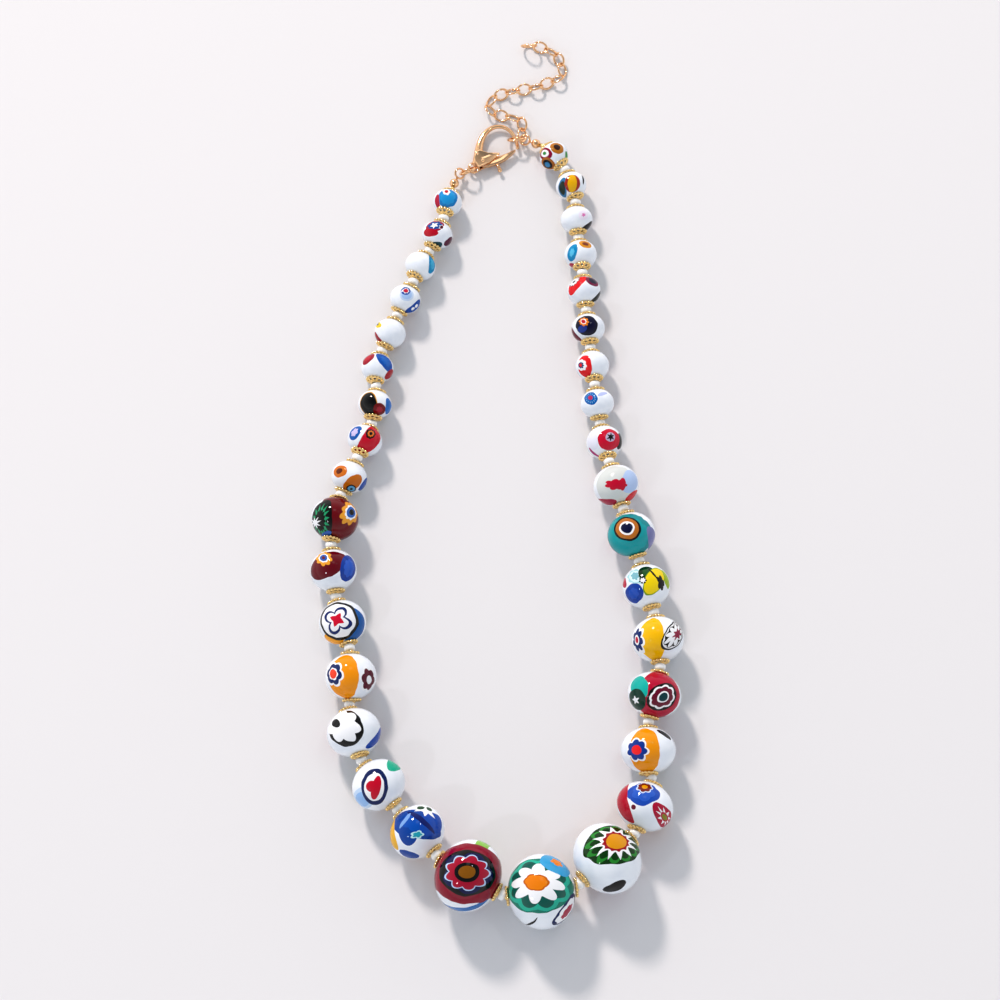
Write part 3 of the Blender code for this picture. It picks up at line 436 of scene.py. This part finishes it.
def mosaic_glass(name, bead, slices):
    """Opaque white glass wound round a hole, with cane slices fused into it and fire-polished: flat bright
    colours with crisp edges under one unbroken gloss."""
    material = bpy.data.materials.new("mosaic_glass_fire_polished_" + name)
    material.use_nodes = True
    tree = material.node_tree
    shader = tree.nodes["Principled BSDF"]
    shader.inputs["Roughness"].default_value = 0.04
    shader.inputs["IOR"].default_value = 1.37
    place = add_node(tree, "ShaderNodeTexCoord").outputs["Object"]

    # Slices spread a little when they fuse, so their edges waver by a few tenths of a millimetre
    waver = 0.10
    middle = bead.centre + Vector((1, 1, 1)) * waver / 2 * bead.radius
    offset = add_node(tree, "ShaderNodeVectorMath", {0: place, 1: middle}, operation="SUBTRACT").outputs[0]
    spot = add_node(tree, "ShaderNodeVectorMath", {0: offset, "Scale": 1 / bead.radius},
                    operation="SCALE").outputs[0]
    noise = add_node(tree, "ShaderNodeTexNoise", {"Vector": place, "Scale": 2.2 / bead.radius, "Detail": 1.0})
    spot = add_node(tree, "ShaderNodeVectorMath",
                    {0: noise.outputs["Color"], 1: (waver, waver, waver), 2: spot},
                    operation="MULTIPLY_ADD").outputs[0]
    colour = add_node(tree, "ShaderNodeMix",
                      {0: noise.outputs["Fac"], 6: linear("D6DDE8"), 7: linear("EBEFF4")},
                      data_type="RGBA").outputs[2]

    for direction, wide, high, rings in slices:
        across = add_node(tree, "ShaderNodeVectorMath", {0: spot, 1: wide}, operation="DOT_PRODUCT")
        along = add_node(tree, "ShaderNodeVectorMath", {0: spot, 1: high}, operation="DOT_PRODUCT")
        facing = add_node(tree, "ShaderNodeVectorMath", {0: spot, 1: direction}, operation="DOT_PRODUCT")
        across, along, facing = [n.outputs["Value"] for n in (across, along, facing)]
        flat = add_node(tree, "ShaderNodeCombineXYZ", {0: across, 1: along}).outputs[0]
        reach = add_node(tree, "ShaderNodeVectorMath", {0: flat}, operation="LENGTH").outputs["Value"]
        hidden = add_node(tree, "ShaderNodeMath", {0: facing, 1: 0.05}, operation="LESS_THAN").outputs[0]
        reach = add_node(tree, "ShaderNodeMath", {0: hidden, 1: 9.0, 2: reach},
                         operation="MULTIPLY_ADD").outputs[0]
        angle = None
        for share, paint, *petals in rings:
            edge = share
            if petals:
                count, depth = petals[:2]
                turn = math.radians(petals[2]) if len(petals) > 2 else 0.4
                if angle is None:
                    angle = add_node(tree, "ShaderNodeMath", {0: along, 1: across},
                                     operation="ARCTAN2").outputs[0]
                phase = add_node(tree, "ShaderNodeMath", {0: angle, 1: count / 2, 2: turn},
                                 operation="MULTIPLY_ADD").outputs[0]
                wave = add_node(tree, "ShaderNodeMath", {0: phase}, operation="COSINE").outputs[0]
                lobe = add_node(tree, "ShaderNodeMath", {0: wave}, operation="ABSOLUTE").outputs[0]
                edge = add_node(tree, "ShaderNodeMath",
                                {0: lobe, 1: share * depth, 2: share * (1 - max(depth, 0))},
                                operation="MULTIPLY_ADD").outputs[0]
            inside = add_node(tree, "ShaderNodeMath", {0: reach, 1: edge}, operation="LESS_THAN").outputs[0]
            colour = add_node(tree, "ShaderNodeMix", {0: inside, 6: colour, 7: cane_colour(paint)},
                              data_type="RGBA").outputs[2]
    tree.links.new(colour, shader.inputs["Base Color"])
    return material


# Beads

class GlassBead:
    """Place and size of one bead, taken from its CAD node."""

    def __init__(self, node):
        self.node = node
        low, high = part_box(node)
        self.centre = (low + high) / 2
        points = node_points(node) - np.array(self.centre)
        values, vectors = np.linalg.eigh(points.T @ points)
        self.axis = Vector(vectors[:, 2]).normalized()
        heights = points @ np.array(self.axis)
        sides = round(len(points) / 8)
        corner = np.sqrt(np.maximum((points ** 2).sum(axis=1) - heights ** 2, 0)).max()
        self.radius = float(corner) * math.cos(math.pi / sides)
        self.reach = float(heights.max())
        self.half_length = self.reach / math.sqrt(1 - (HOLE_RADIUS * MM / self.radius) ** 2)

    def end_near(self, place):
        """The end of the bead's hole that is nearer to a place."""
        ends = [self.centre + self.axis * self.reach, self.centre - self.axis * self.reach]
        return min(ends, key=lambda end: (end - place).length)

    def seen_from(self, eye):
        """Right, up and towards-the-eye directions at this bead."""
        towards = (eye - self.centre).normalized()
        right = Vector((0, 1, 0)).cross(towards).normalized()
        right = right if right.x > 0 else -right
        return right, towards.cross(right), towards

    def slices(self, rows, eye, number):
        """Each cane slice as its direction, its two measuring directions and its rings."""
        right, upward, towards = self.seen_from(eye)
        made = []
        for across, up, wide, high, tilt, rings in rows:
            depth = math.sqrt(max(0.03, 1 - across ** 2 - up ** 2))
            direction = (right * across + upward * up + towards * depth).normalized()
            angle = math.radians(tilt)
            first = right * math.cos(angle) + upward * math.sin(angle)
            second = upward * math.cos(angle) - right * math.sin(angle)
            first = (first - direction * first.dot(direction)) / wide
            second = (second - direction * second.dot(direction)) / high
            made.append((direction, first, second, rings))
        chance = random.Random(number)
        for step in range(4):
            angle = math.tau * (step + 0.3 * chance.random()) / 4
            rise = -0.55 - 0.25 * chance.random()
            spread = math.sqrt(1 - rise ** 2)
            round_the_side = right * math.cos(angle) + upward * math.sin(angle)
            direction = round_the_side * spread + towards * rise
            size = 0.34 + 0.12 * chance.random()
            first = direction.cross(towards).normalized()
            second = direction.cross(first)
            made.insert(0, (direction, first / size, second / size, HIDDEN_CANES[chance.randrange(6)]))
        return made


def model_bead():
    """One bead of radius 1 with a dimple for the hole at each pole, to be copied at each size."""
    pole_height, dimple = 0.994, 0.3
    deselect_all()
    bpy.ops.mesh.primitive_uv_sphere_add(segments=48, ring_count=32, radius=1)
    obj = bpy.context.object
    for pole in (1, -1):
        bpy.ops.object.mode_set(mode="EDIT")
        bpy.ops.mesh.select_mode(type="FACE")
        bpy.ops.mesh.select_all(action="DESELECT")
        bpy.ops.object.mode_set(mode="OBJECT")
        for face in obj.data.polygons:
            face.select = face.center.z * pole > pole_height
        bpy.ops.object.mode_set(mode="EDIT")
        bpy.ops.mesh.extrude_region_move(TRANSFORM_OT_translate={"value": (0, 0, -dimple * pole)})
        bpy.ops.object.mode_set(mode="OBJECT")
    return obj


def model_cap(bead_radius):
    """An openwork cap in millimetres: loop petals round a collar, with grains at and between their tips."""
    pieces = []
    slope = math.asin(CAP_TILT_REACH / bead_radius)  # how far the loops lean outwards to lie on the glass

    def drop(reach):
        """How far the glass has fallen away at this distance from the hole."""
        return bead_radius - math.sqrt(bead_radius ** 2 - reach ** 2)

    for petal in range(CAP_PETALS):
        turn = Matrix.Rotation(math.tau * petal / CAP_PETALS, 4, "Z")
        deselect_all()
        bpy.ops.mesh.primitive_torus_add(major_radius=CAP_LOOP, minor_radius=CAP_LOOP_WIRE,
                                         major_segments=16, minor_segments=7)
        loop = bpy.context.object
        tip = turn @ Matrix.Translation((CAP_LOOP_REACH, 0, CAP_HEIGHT - drop(CAP_LOOP_REACH)))
        tip = tip @ Matrix.Rotation(slope, 4, "Y") @ Matrix.Diagonal((1.1, 1.0, 1.2, 1))
        pieces.append(fix_in_place(loop, tip))
        for step in (0, 0.5):
            deselect_all()
            bpy.ops.mesh.primitive_ico_sphere_add(subdivisions=2, radius=CAP_GRAIN)
            place = turn @ Matrix.Rotation(math.tau * step / CAP_PETALS, 4, "Z")
            place = place @ Matrix.Translation((CAP_GRAIN_REACH, 0, CAP_HEIGHT - drop(CAP_GRAIN_REACH)))
            pieces.append(fix_in_place(bpy.context.object, place))
    for major, minor, height in CAP_COLLARS:
        deselect_all()
        bpy.ops.mesh.primitive_torus_add(major_radius=major, minor_radius=minor, major_segments=24,
                                         minor_segments=8, location=(0, 0, height))
        pieces.append(bpy.context.object)
    return join_pieces("cap_master", pieces)


def model_seed():
    """A seed bead in millimetres: a short rounded barrel."""
    deselect_all()
    bpy.ops.mesh.primitive_cylinder_add(vertices=24, radius=SEED_RADIUS, depth=SEED_LENGTH)
    obj = bpy.context.object
    bevel = obj.modifiers.new("round", "BEVEL")
    bevel.width = SEED_ROUNDING
    bevel.segments = 6
    bevel.limit_method = "ANGLE"
    bpy.ops.object.modifier_apply(modifier="round")
    return obj


def model_wire_ring(radius, wire, stretch=1.0):
    """A ring of round wire in millimetres, bent shut with a hairline slit."""
    deselect_all()
    bpy.ops.mesh.primitive_torus_add(major_radius=radius, minor_radius=wire / 2, major_segments=40,
                                     minor_segments=10)
    obj = bpy.context.object
    bpy.ops.object.mode_set(mode="EDIT")
    bpy.ops.mesh.select_mode(type="FACE")
    bpy.ops.mesh.select_all(action="DESELECT")
    bpy.ops.object.mode_set(mode="OBJECT")
    for face in obj.data.polygons:
        angle = math.degrees(math.atan2(face.center.y, face.center.x))
        face.select = 90 < angle < 97
    bpy.ops.object.mode_set(mode="EDIT")
    bpy.ops.mesh.delete(type="FACE")
    bpy.ops.mesh.select_all(action="SELECT")
    bpy.ops.mesh.fill_holes(sides=12)
    bpy.ops.mesh.select_all(action="DESELECT")
    bpy.ops.object.mode_set(mode="OBJECT")
    if stretch != 1.0:
        fix_in_place(obj, Matrix.Diagonal((stretch, 1, 1, 1)))
    return obj


def ball(radius, matrix):
    """A round ball, put in its place."""
    deselect_all()
    bpy.ops.mesh.primitive_uv_sphere_add(segments=24, ring_count=12, radius=radius)
    return fix_in_place(bpy.context.object, matrix)


def rod(radius, start, end):
    """A straight round wire between two places, in metres."""
    deselect_all()
    bpy.ops.mesh.primitive_cylinder_add(vertices=12, radius=radius * MM, depth=(end - start).length)
    return fix_in_place(bpy.context.object, along_axis((end - start).normalized(), (start + end) / 2))


# Places of the hardware, worked out from the frame

class ClaspPlan:
    """The clasp's plan turned and moved to where the frame holds the clasp."""

    def __init__(self):
        points = node_points("jump_ring_right")
        points = points - points.mean(axis=0)
        normal = Vector(np.linalg.eigh(points.T @ points)[1][:, 0])
        along = UP.cross(normal).normalized()
        along = along if along.x > 0 else -along
        self.turn = math.atan2(along.y, along.x) - math.radians(RING_HEADINGS["right"])
        hinge = Vector(frame["joints"][0]["pos_m"])
        rotation = Matrix.Rotation(self.turn, 4, "Z")
        origin = hinge - rotation @ Vector((*PIVOT, 0)) * MM
        origin.z = 0
        self.matrix = Matrix.Translation(origin) @ rotation @ Matrix.Scale(MM, 4)

    def direction(self, degrees):
        """A level direction that is given as a heading in the clasp's plan."""
        angle = self.turn + math.radians(degrees)
        return Vector((math.cos(angle), math.sin(angle), 0))


def end_bead_middle(side, along):
    """The middle of a gold end bead's ball, whose string hole opens on the side away from its loop."""
    points = node_points("end_bead_" + side)
    mouth = math.sqrt(END_BEAD_RADIUS ** 2 - END_HOLE_RADIUS ** 2) * MM
    middle = along * (float((points @ np.array(along)).max()) - mouth)
    for axis in (UP.cross(along), UP):
        heights = points @ np.array(axis)
        middle += axis * float(heights.max() + heights.min()) / 2
    return middle


class ChainWay:
    """A smooth level curve through chosen points, measured by the length along it."""

    def __init__(self, points):
        fours = zip([points[0], *points], points, points[1:], [*points[2:], points[-1]])
        self.places = []
        for before, start, end, after in fours:
            for step in range(ROUTE_STEPS):
                share = step / ROUTE_STEPS
                self.places.append(0.5 * (2 * start + (end - before) * share
                                          + (2 * before - 5 * start + 4 * end - after) * share ** 2
                                          + (3 * start - before - 3 * end + after) * share ** 3))
        self.places.append(points[-1])
        self.lengths = [0.0]
        for here, there in zip(self.places, self.places[1:]):
            self.lengths.append(self.lengths[-1] + (there - here).length)

    def at(self, length):
        """The place at a length along the curve, and past its ends straight on."""
        low = min(max(bisect(self.lengths, length) - 1, 0), len(self.lengths) - 2)
        share = (length - self.lengths[low]) / (self.lengths[low + 1] - self.lengths[low])
        return self.places[low].lerp(self.places[low + 1], share)

    def heading(self, length, reach):
        return (self.at(length + reach) - self.at(length - reach)).normalized()


def chain_rings(plan, ring_centre, ring_along):
    """Where each link and the end ring of the extender lie: centre, level direction and lean."""
    ring_place = ring_matrix(ring_centre, ring_along, -RING_TILT)
    angle = math.radians(CHAIN_ON_RING)
    ring_radius = (RING_DIAMETER - RING_WIRE) / 2
    hold = ring_place @ (Vector((math.cos(angle), math.sin(angle), 0)) * ring_radius)
    hold.z = 0
    way = ChainWay([hold] + [plan.matrix @ Vector((u, v, 0)) for u, v in CHAIN_ROUTE])
    half_length = (LINK_LENGTH - LINK_WIRE) / 2 * MM
    pitch = 2 * half_length - (LINK_WIRE - LINK_BITE) * MM
    rest = ((LINK_WIDTH - LINK_WIRE) / 2 * math.sin(math.radians(LINK_ROLL)) + LINK_WIRE / 2) * MM
    length = half_length * math.cos(math.pi / LINK_SEGMENTS) - ((LINK_WIRE + RING_WIRE) / 2 + LINK_PLAY) * MM
    rings = []
    for number in range(LINK_COUNT):
        along = way.heading(length, pitch / 4)
        lean = LINK_ROLL if number % 2 == 0 else -LINK_ROLL
        rings.append((way.at(length) + UP * rest, along, lean))
        length += pitch

    # The end ring hangs in the last link and leans on the surface
    last, along, _ = rings[-1]
    hold = last + along * (pitch - half_length)
    along = plan.direction(CHAIN_END_HEADING)
    lean = math.radians(CHAIN_END_LEAN)
    radius = (CHAIN_END_DIAMETER - LINK_WIRE) / 2 * MM
    above = radius * math.sin(lean) + LINK_WIRE / 2 * MM - hold.z
    low = math.asin(above / (radius * math.sin(lean)))
    centre = hold + along * radius * math.cos(low) + UP * above + UP.cross(along) * above / math.tan(lean)
    rings.append((centre, along, CHAIN_END_LEAN))
    return rings


# The clasp, drawn in its own plan in millimetres

# The hook's middle line from the eye to the tip: u, v and the bar's radius there
HOOK_LINE = [
    (0.9, 0.4, 1.15), (2.2, 2.0, 1.2), (3.4, 3.9, 1.12), (4.9, 5.9, 0.95), (6.8, 7.5, 0.78),
    (9.0, 8.3, 0.64), (11.1, 8.1, 0.56), (12.8, 6.9, 0.52), (13.7, 5.0, 0.5), (13.9, 3.1, 0.5),
    (13.6, 1.2, 0.48), (13.0, -0.4, 0.4),
]
# Outlines of the side plates, and of the lever about its pivot
CHEEK = [(0.9, -1.0), (4.4, -1.0), (7.8, -0.1), (7.8, 0.4), (5.1, 1.8), (3.6, 3.6), (2.2, 3.6), (1.25, 2.2),
         (0.85, 1.0)]
PIVOT = (2.9, 0.3)
LEVER = [(-0.6, -1.2), (0.8, -1.9), (2.9, -2.3), (5.5, -2.25), (7.9, -1.6), (9.3, -1.05), (9.4, -0.72),
         (7.0, -0.72), (4.2, -0.47), (1.9, 0.38), (0.3, 0.95), (-0.5, 0.85), (-0.95, 0.3), (-0.95, -0.6)]


def plate(outline, low, high, rounding, crown):
    """A plate cut to an outline, with rounded edges and its two sides crowned, or sunk where below zero."""
    deselect_all()
    bpy.ops.mesh.primitive_circle_add(vertices=len(outline), fill_type="NGON", location=(0, 0, 0))
    obj = bpy.context.object
    for vertex, (u, v) in zip(obj.data.vertices, outline):
        vertex.co = (u, v, low)
    bpy.ops.object.mode_set(mode="EDIT")
    bpy.ops.mesh.select_all(action="SELECT")
    bpy.ops.mesh.extrude_region_move(TRANSFORM_OT_translate={"value": (0, 0, high - low)})
    bpy.ops.mesh.select_all(action="SELECT")
    bpy.ops.mesh.normals_make_consistent(inside=False)
    bpy.ops.object.mode_set(mode="OBJECT")
    bevel = obj.modifiers.new("edge", "BEVEL")
    bevel.width = rounding
    bevel.segments = 6
    bpy.ops.object.modifier_apply(modifier="edge")
    for side in (1, -1):
        bpy.ops.object.mode_set(mode="EDIT")
        bpy.ops.mesh.select_mode(type="FACE")
        bpy.ops.mesh.select_all(action="DESELECT")
        bpy.ops.object.mode_set(mode="OBJECT")
        broad = max((f for f in obj.data.polygons if f.normal.z * side > 0.99), key=lambda f: f.area)
        broad.select = True
        bpy.ops.object.mode_set(mode="EDIT")
        if crown > 0:
            bpy.ops.mesh.poke(offset=crown)
        else:
            bpy.ops.mesh.inset(thickness=CHEEK_RIM, depth=crown)
        bpy.ops.object.mode_set(mode="OBJECT")
    return obj


def model_hook():
    """The arm and hook: one tapering cast bar."""
    deselect_all()
    bpy.ops.curve.primitive_nurbs_path_add(location=(0, 0, CLASP_THICKNESS / 2))
    obj = bpy.context.object
    spline = obj.data.splines[0]
    spline.points.add(len(HOOK_LINE) - len(spline.points))
    for point, (u, v, radius) in zip(spline.points, HOOK_LINE):
        point.co = (u, v, 0, 1)
        point.radius = radius
    spline.order_u = 4
    spline.use_endpoint_u = True
    obj.data.bevel_depth = 1.0
    obj.data.bevel_resolution = 6
    obj.data.resolution_u = 8
    obj.data.use_fill_caps = True
    bpy.ops.object.convert(target="MESH")
    return bpy.context.object


def model_clasp_frame():
    """Hook, two side plates, eye and the rivet's two heads, joined as the casting is."""
    pieces = [model_hook()]
    for low in (0.0, CLASP_THICKNESS - CHEEK_THICKNESS):
        pieces.append(plate(CHEEK, low, low + CHEEK_THICKNESS, CHEEK_ROUNDING, CHEEK_SINK))
    eye = model_wire_ring(EYE_RADIUS, EYE_WIRE)
    pieces.append(fix_in_place(eye, Matrix.Translation((0, 0, CLASP_THICKNESS / 2))))
    for height in (RIVET_HEIGHT, CLASP_THICKNESS - RIVET_HEIGHT):
        deselect_all()
        bpy.ops.mesh.primitive_cylinder_add(vertices=24, radius=RIVET_RADIUS, depth=RIVET_LENGTH,
                                            location=(*PIVOT, height))
        pieces.append(bpy.context.object)
    return join_pieces("clasp_frame_cast", pieces)


def model_lever():
    """The sprung lever with its thumb knob on a short stem."""
    middle = CLASP_THICKNESS / 2
    blade = plate(LEVER, middle - LEVER_THICKNESS / 2, middle + LEVER_THICKNESS / 2, LEVER_ROUNDING,
                  LEVER_CROWN)
    shift = Matrix.Translation((*PIVOT, 0))
    pieces = [fix_in_place(blade, shift)]
    pieces.append(ball(KNOB_RADIUS, shift @ Matrix.Translation((*KNOB_PLACE, middle))))
    deselect_all()
    bpy.ops.mesh.primitive_cylinder_add(vertices=16, radius=STEM_RADIUS, depth=STEM_LENGTH)
    stem = bpy.context.object
    lean = shift @ Matrix.Translation((*STEM_PLACE, middle)) @ Matrix.Rotation(math.radians(90), 4, "X")
    pieces.append(fix_in_place(stem, lean))
    return join_pieces("clasp_lever_cast", pieces)


# Light, floor and camera

def build_stage():
    """Plain floor, soft studio surround and four lamps."""
    # Matt paint on a flat board: pale, with soft shadows and no mirror reflections
    material = bpy.data.materials.new("painted_table_matt")
    material.use_nodes = True
    shader = material.node_tree.nodes["Principled BSDF"]
    shader.inputs["Base Color"].default_value = linear("DDDCDE")
    shader.inputs["Roughness"].default_value = 0.75
    deselect_all()
    bpy.ops.mesh.primitive_plane_add(size=6)
    floor = bpy.context.object
    floor.name = "floor"
    floor.data.materials.append(material)

    world = bpy.data.worlds.new("studio")
    bpy.context.scene.world = world
    world.use_nodes = True
    tree = world.node_tree
    direction = add_node(tree, "ShaderNodeTexCoord").outputs["Generated"]
    height = add_node(tree, "ShaderNodeSeparateXYZ", {0: direction}).outputs[2]
    glow = add_node(tree, "ShaderNodeMix", {0: height, 6: linear("FFFFFF"), 7: linear("757C86")},
                    data_type="RGBA").outputs[2]
    background = tree.nodes["Background"]
    tree.links.new(glow, background.inputs["Color"])
    background.inputs["Strength"].default_value = 1.5

    # Name, place in metres, power in watts, size in metres and colour
    lights = [
        ("key", (-0.92, 1.98, 1.76), 58.0, 0.34, "FFF3EA"),
        ("window", (-0.60, -0.60, 0.75), 0.9, 0.03, "F4F8FF"),
        ("lamp", (0.30, 0.30, 1.00), 0.4, 0.024, "FFFFFF"),
        ("overhead", (0.0, 0.62, 1.18), 0.4, 0.30, "FFFFFF"),
    ]
    for name, place, power, size, colour in lights:
        data = bpy.data.lights.new(name, "AREA")
        data.energy = power
        data.size = size
        data.color = linear(colour)[:3]
        lamp = bpy.data.objects.new(name, data)
        lamp.location = place
        lamp.rotation_euler = (Vector((0, -0.02, 0)) - Vector(place)).to_track_quat("-Z", "Y").to_euler()
        bpy.context.collection.objects.link(lamp)


def camera_place():
    """Where the camera's eye is, in metres."""
    away = Vector((0, -math.cos(CAMERA_ELEVATION), math.sin(CAMERA_ELEVATION)))
    return CAMERA_TARGET + away * CAMERA_DISTANCE


def build_camera():
    data = bpy.data.cameras.new("camera")
    data.lens = CAMERA_LENS
    data.sensor_width = 36
    data.clip_start = 0.01
    camera = bpy.data.objects.new("camera", data)
    camera.location = camera_place()
    camera.rotation_euler = (CAMERA_TARGET - camera.location).to_track_quat("-Z", "Y").to_euler()
    bpy.context.collection.objects.link(camera)
    bpy.context.scene.camera = camera


# Putting it together

def build_beads(eye):
    """All glass beads, from the left end of the clasp round the loop to the right end."""
    master = model_bead()
    beads = []
    lefts = [f"left_{n:02d}" for n in range(1, 18)]
    rights = [f"right_{n:02d}" for n in range(17, 0, -1)]
    names = lefts + ["centre"] + rights
    for number, name in enumerate(names):
        bead = GlassBead("bead_" + name)
        obj = copy_of(master, "glass_" + name)
        fix_in_place(obj, along_axis(bead.axis, bead.centre, (bead.radius, bead.radius, bead.half_length)))
        material = mosaic_glass(name, bead, bead.slices(SLICES[name], eye, number))
        dress(obj, material, [bead.node])
        beads.append(bead)
    bpy.data.objects.remove(master)
    return beads


def build_strings(beads, plan, gold, seed_white):
    """Caps on both ends of every bead, seed beads between them and the wire through all of it."""
    cap_masters = {}
    seed_master = model_seed()
    strands = {"left": ([None] + beads[:17], beads[:18]), "right": ([None] + beads[:17:-1], beads[:16:-1])}
    for side, (befores, afters) in strands.items():
        caps, seeds, wires = [], [], []
        end_bead = end_bead_middle(side, plan.direction(END_HEADINGS[side]))
        for before, after in zip(befores, afters):
            if before is None:
                start = end_bead + (after.end_near(end_bead) - end_bead).normalized() * END_BEAD_RADIUS * MM
            else:
                start = before.end_near(after.centre)
            end = after.end_near(start)
            holders = [(end, after)] if before is None else [(start, before), (end, after)]
            rims = []
            for place, bead in holders:
                size = round(bead.radius / MM / CAP_SIZE_STEP) * CAP_SIZE_STEP
                if size not in cap_masters:
                    cap_masters[size] = model_cap(size)
                outward = (place - bead.centre).normalized()
                cap = copy_of(cap_masters[size], "cap")
                caps.append(fix_in_place(cap, along_axis(outward, place, (MM, MM, MM))))
                rims.append(place + outward * CAP_RIM * MM)
            if before is None:
                wires.append(rod(END_TUBE_RADIUS, start, end))
                continue
            middle = (rims[0] + rims[1]) / 2
            length = (rims[1] - rims[0]).length
            seed = copy_of(seed_master, "seed")
            scale = (MM, MM, min(length / SEED_LENGTH, SEED_STRETCH * MM))
            seeds.append(fix_in_place(seed, along_axis((rims[1] - rims[0]).normalized(), middle, scale)))
            wires.append(rod(WIRE_RADIUS, start, end))
        node = "string_" + side
        dress(join_pieces("caps_" + side, caps + wires), gold, [node])
        dress(join_pieces("seeds_" + side, seeds), seed_white, [node])
    for master in [seed_master, *cap_masters.values()]:
        bpy.data.objects.remove(master)


def build_hardware(plan, gold):
    """Jump rings, end beads, extender chain and clasp."""
    ring_places = {}
    for side, lean in (("left", RING_TILT), ("right", -RING_TILT)):
        low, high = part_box("jump_ring_" + side)
        ring_places[side] = (low + high) / 2, plan.direction(RING_HEADINGS[side])
        ring = model_wire_ring((RING_DIAMETER - RING_WIRE) / 2, RING_WIRE)
        fix_in_place(ring, ring_matrix(*ring_places[side], lean))
        ring.name = "jump_ring_" + side + "_wire"
        dress(ring, gold, ["jump_ring_" + side])
    for side, lean in (("left", RING_TILT - 90), ("right", 90 - RING_TILT)):
        along = plan.direction(END_HEADINGS[side])
        middle = end_bead_middle(side, along)
        loop_middle = middle - along * (LOOP_RADIUS + LOOP_NECK_LENGTH + END_BEAD_RADIUS) * MM
        loop = model_wire_ring(LOOP_RADIUS, LOOP_WIRE)
        fix_in_place(loop, ring_matrix(loop_middle, along, lean))
        neck = rod(LOOP_NECK, middle, loop_middle + along * LOOP_RADIUS * MM)
        pieces = [ball(END_BEAD_RADIUS * MM, Matrix.Translation(middle)), neck, loop]
        name = "end_bead_" + side
        dress(join_pieces(name + "_ball", pieces), gold, [name])

    link_radius = (LINK_WIDTH - LINK_WIRE) / 2
    link_stretch = (LINK_LENGTH - LINK_WIRE) / (LINK_WIDTH - LINK_WIRE)
    link_master = model_wire_ring(link_radius, LINK_WIRE, link_stretch)
    *link_places, end_place = chain_rings(plan, *ring_places["right"])
    links = []
    for centre, along, lean in link_places:
        link = copy_of(link_master, "link")
        links.append(fix_in_place(link, ring_matrix(centre, along, lean)))
    bpy.data.objects.remove(link_master)
    last = model_wire_ring((CHAIN_END_DIAMETER - LINK_WIRE) / 2, LINK_WIRE)
    links.append(fix_in_place(last, ring_matrix(*end_place)))
    dress(join_pieces("extender_links", links), gold, ["extender_chain"])

    clasp = fix_in_place(model_clasp_frame(), plan.matrix)
    dress(clasp, gold, ["clasp_frame"])
    lever = fix_in_place(model_lever(), plan.matrix)
    dress(lever, gold, ["clasp_lever"], body="lever")


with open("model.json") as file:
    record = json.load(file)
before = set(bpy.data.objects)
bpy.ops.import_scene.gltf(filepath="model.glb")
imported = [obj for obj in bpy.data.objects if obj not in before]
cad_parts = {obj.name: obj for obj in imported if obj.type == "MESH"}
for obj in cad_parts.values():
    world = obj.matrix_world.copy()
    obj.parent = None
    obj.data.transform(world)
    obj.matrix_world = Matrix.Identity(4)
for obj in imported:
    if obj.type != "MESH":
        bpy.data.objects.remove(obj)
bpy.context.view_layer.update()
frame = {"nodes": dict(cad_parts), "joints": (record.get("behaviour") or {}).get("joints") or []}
# The plain display transform, slightly deepened so that dark canes stay dark beside white glass
bpy.context.scene.view_settings.view_transform = "Standard"
bpy.context.scene.view_settings.gamma = 0.9
cap_gold = plated_gold("yellow_gold_plate_stamped", "F4D596", 0.10)
clasp_gold = plated_gold("rose_tinted_gold_plate_cast", "EFC194", 0.10)
build_stage()
build_camera()
clasp_plan = ClaspPlan()
build_strings(build_beads(camera_place()), clasp_plan, cap_gold, seed_glass())
build_hardware(clasp_plan, clasp_gold)
bpy.context.view_layer.update()
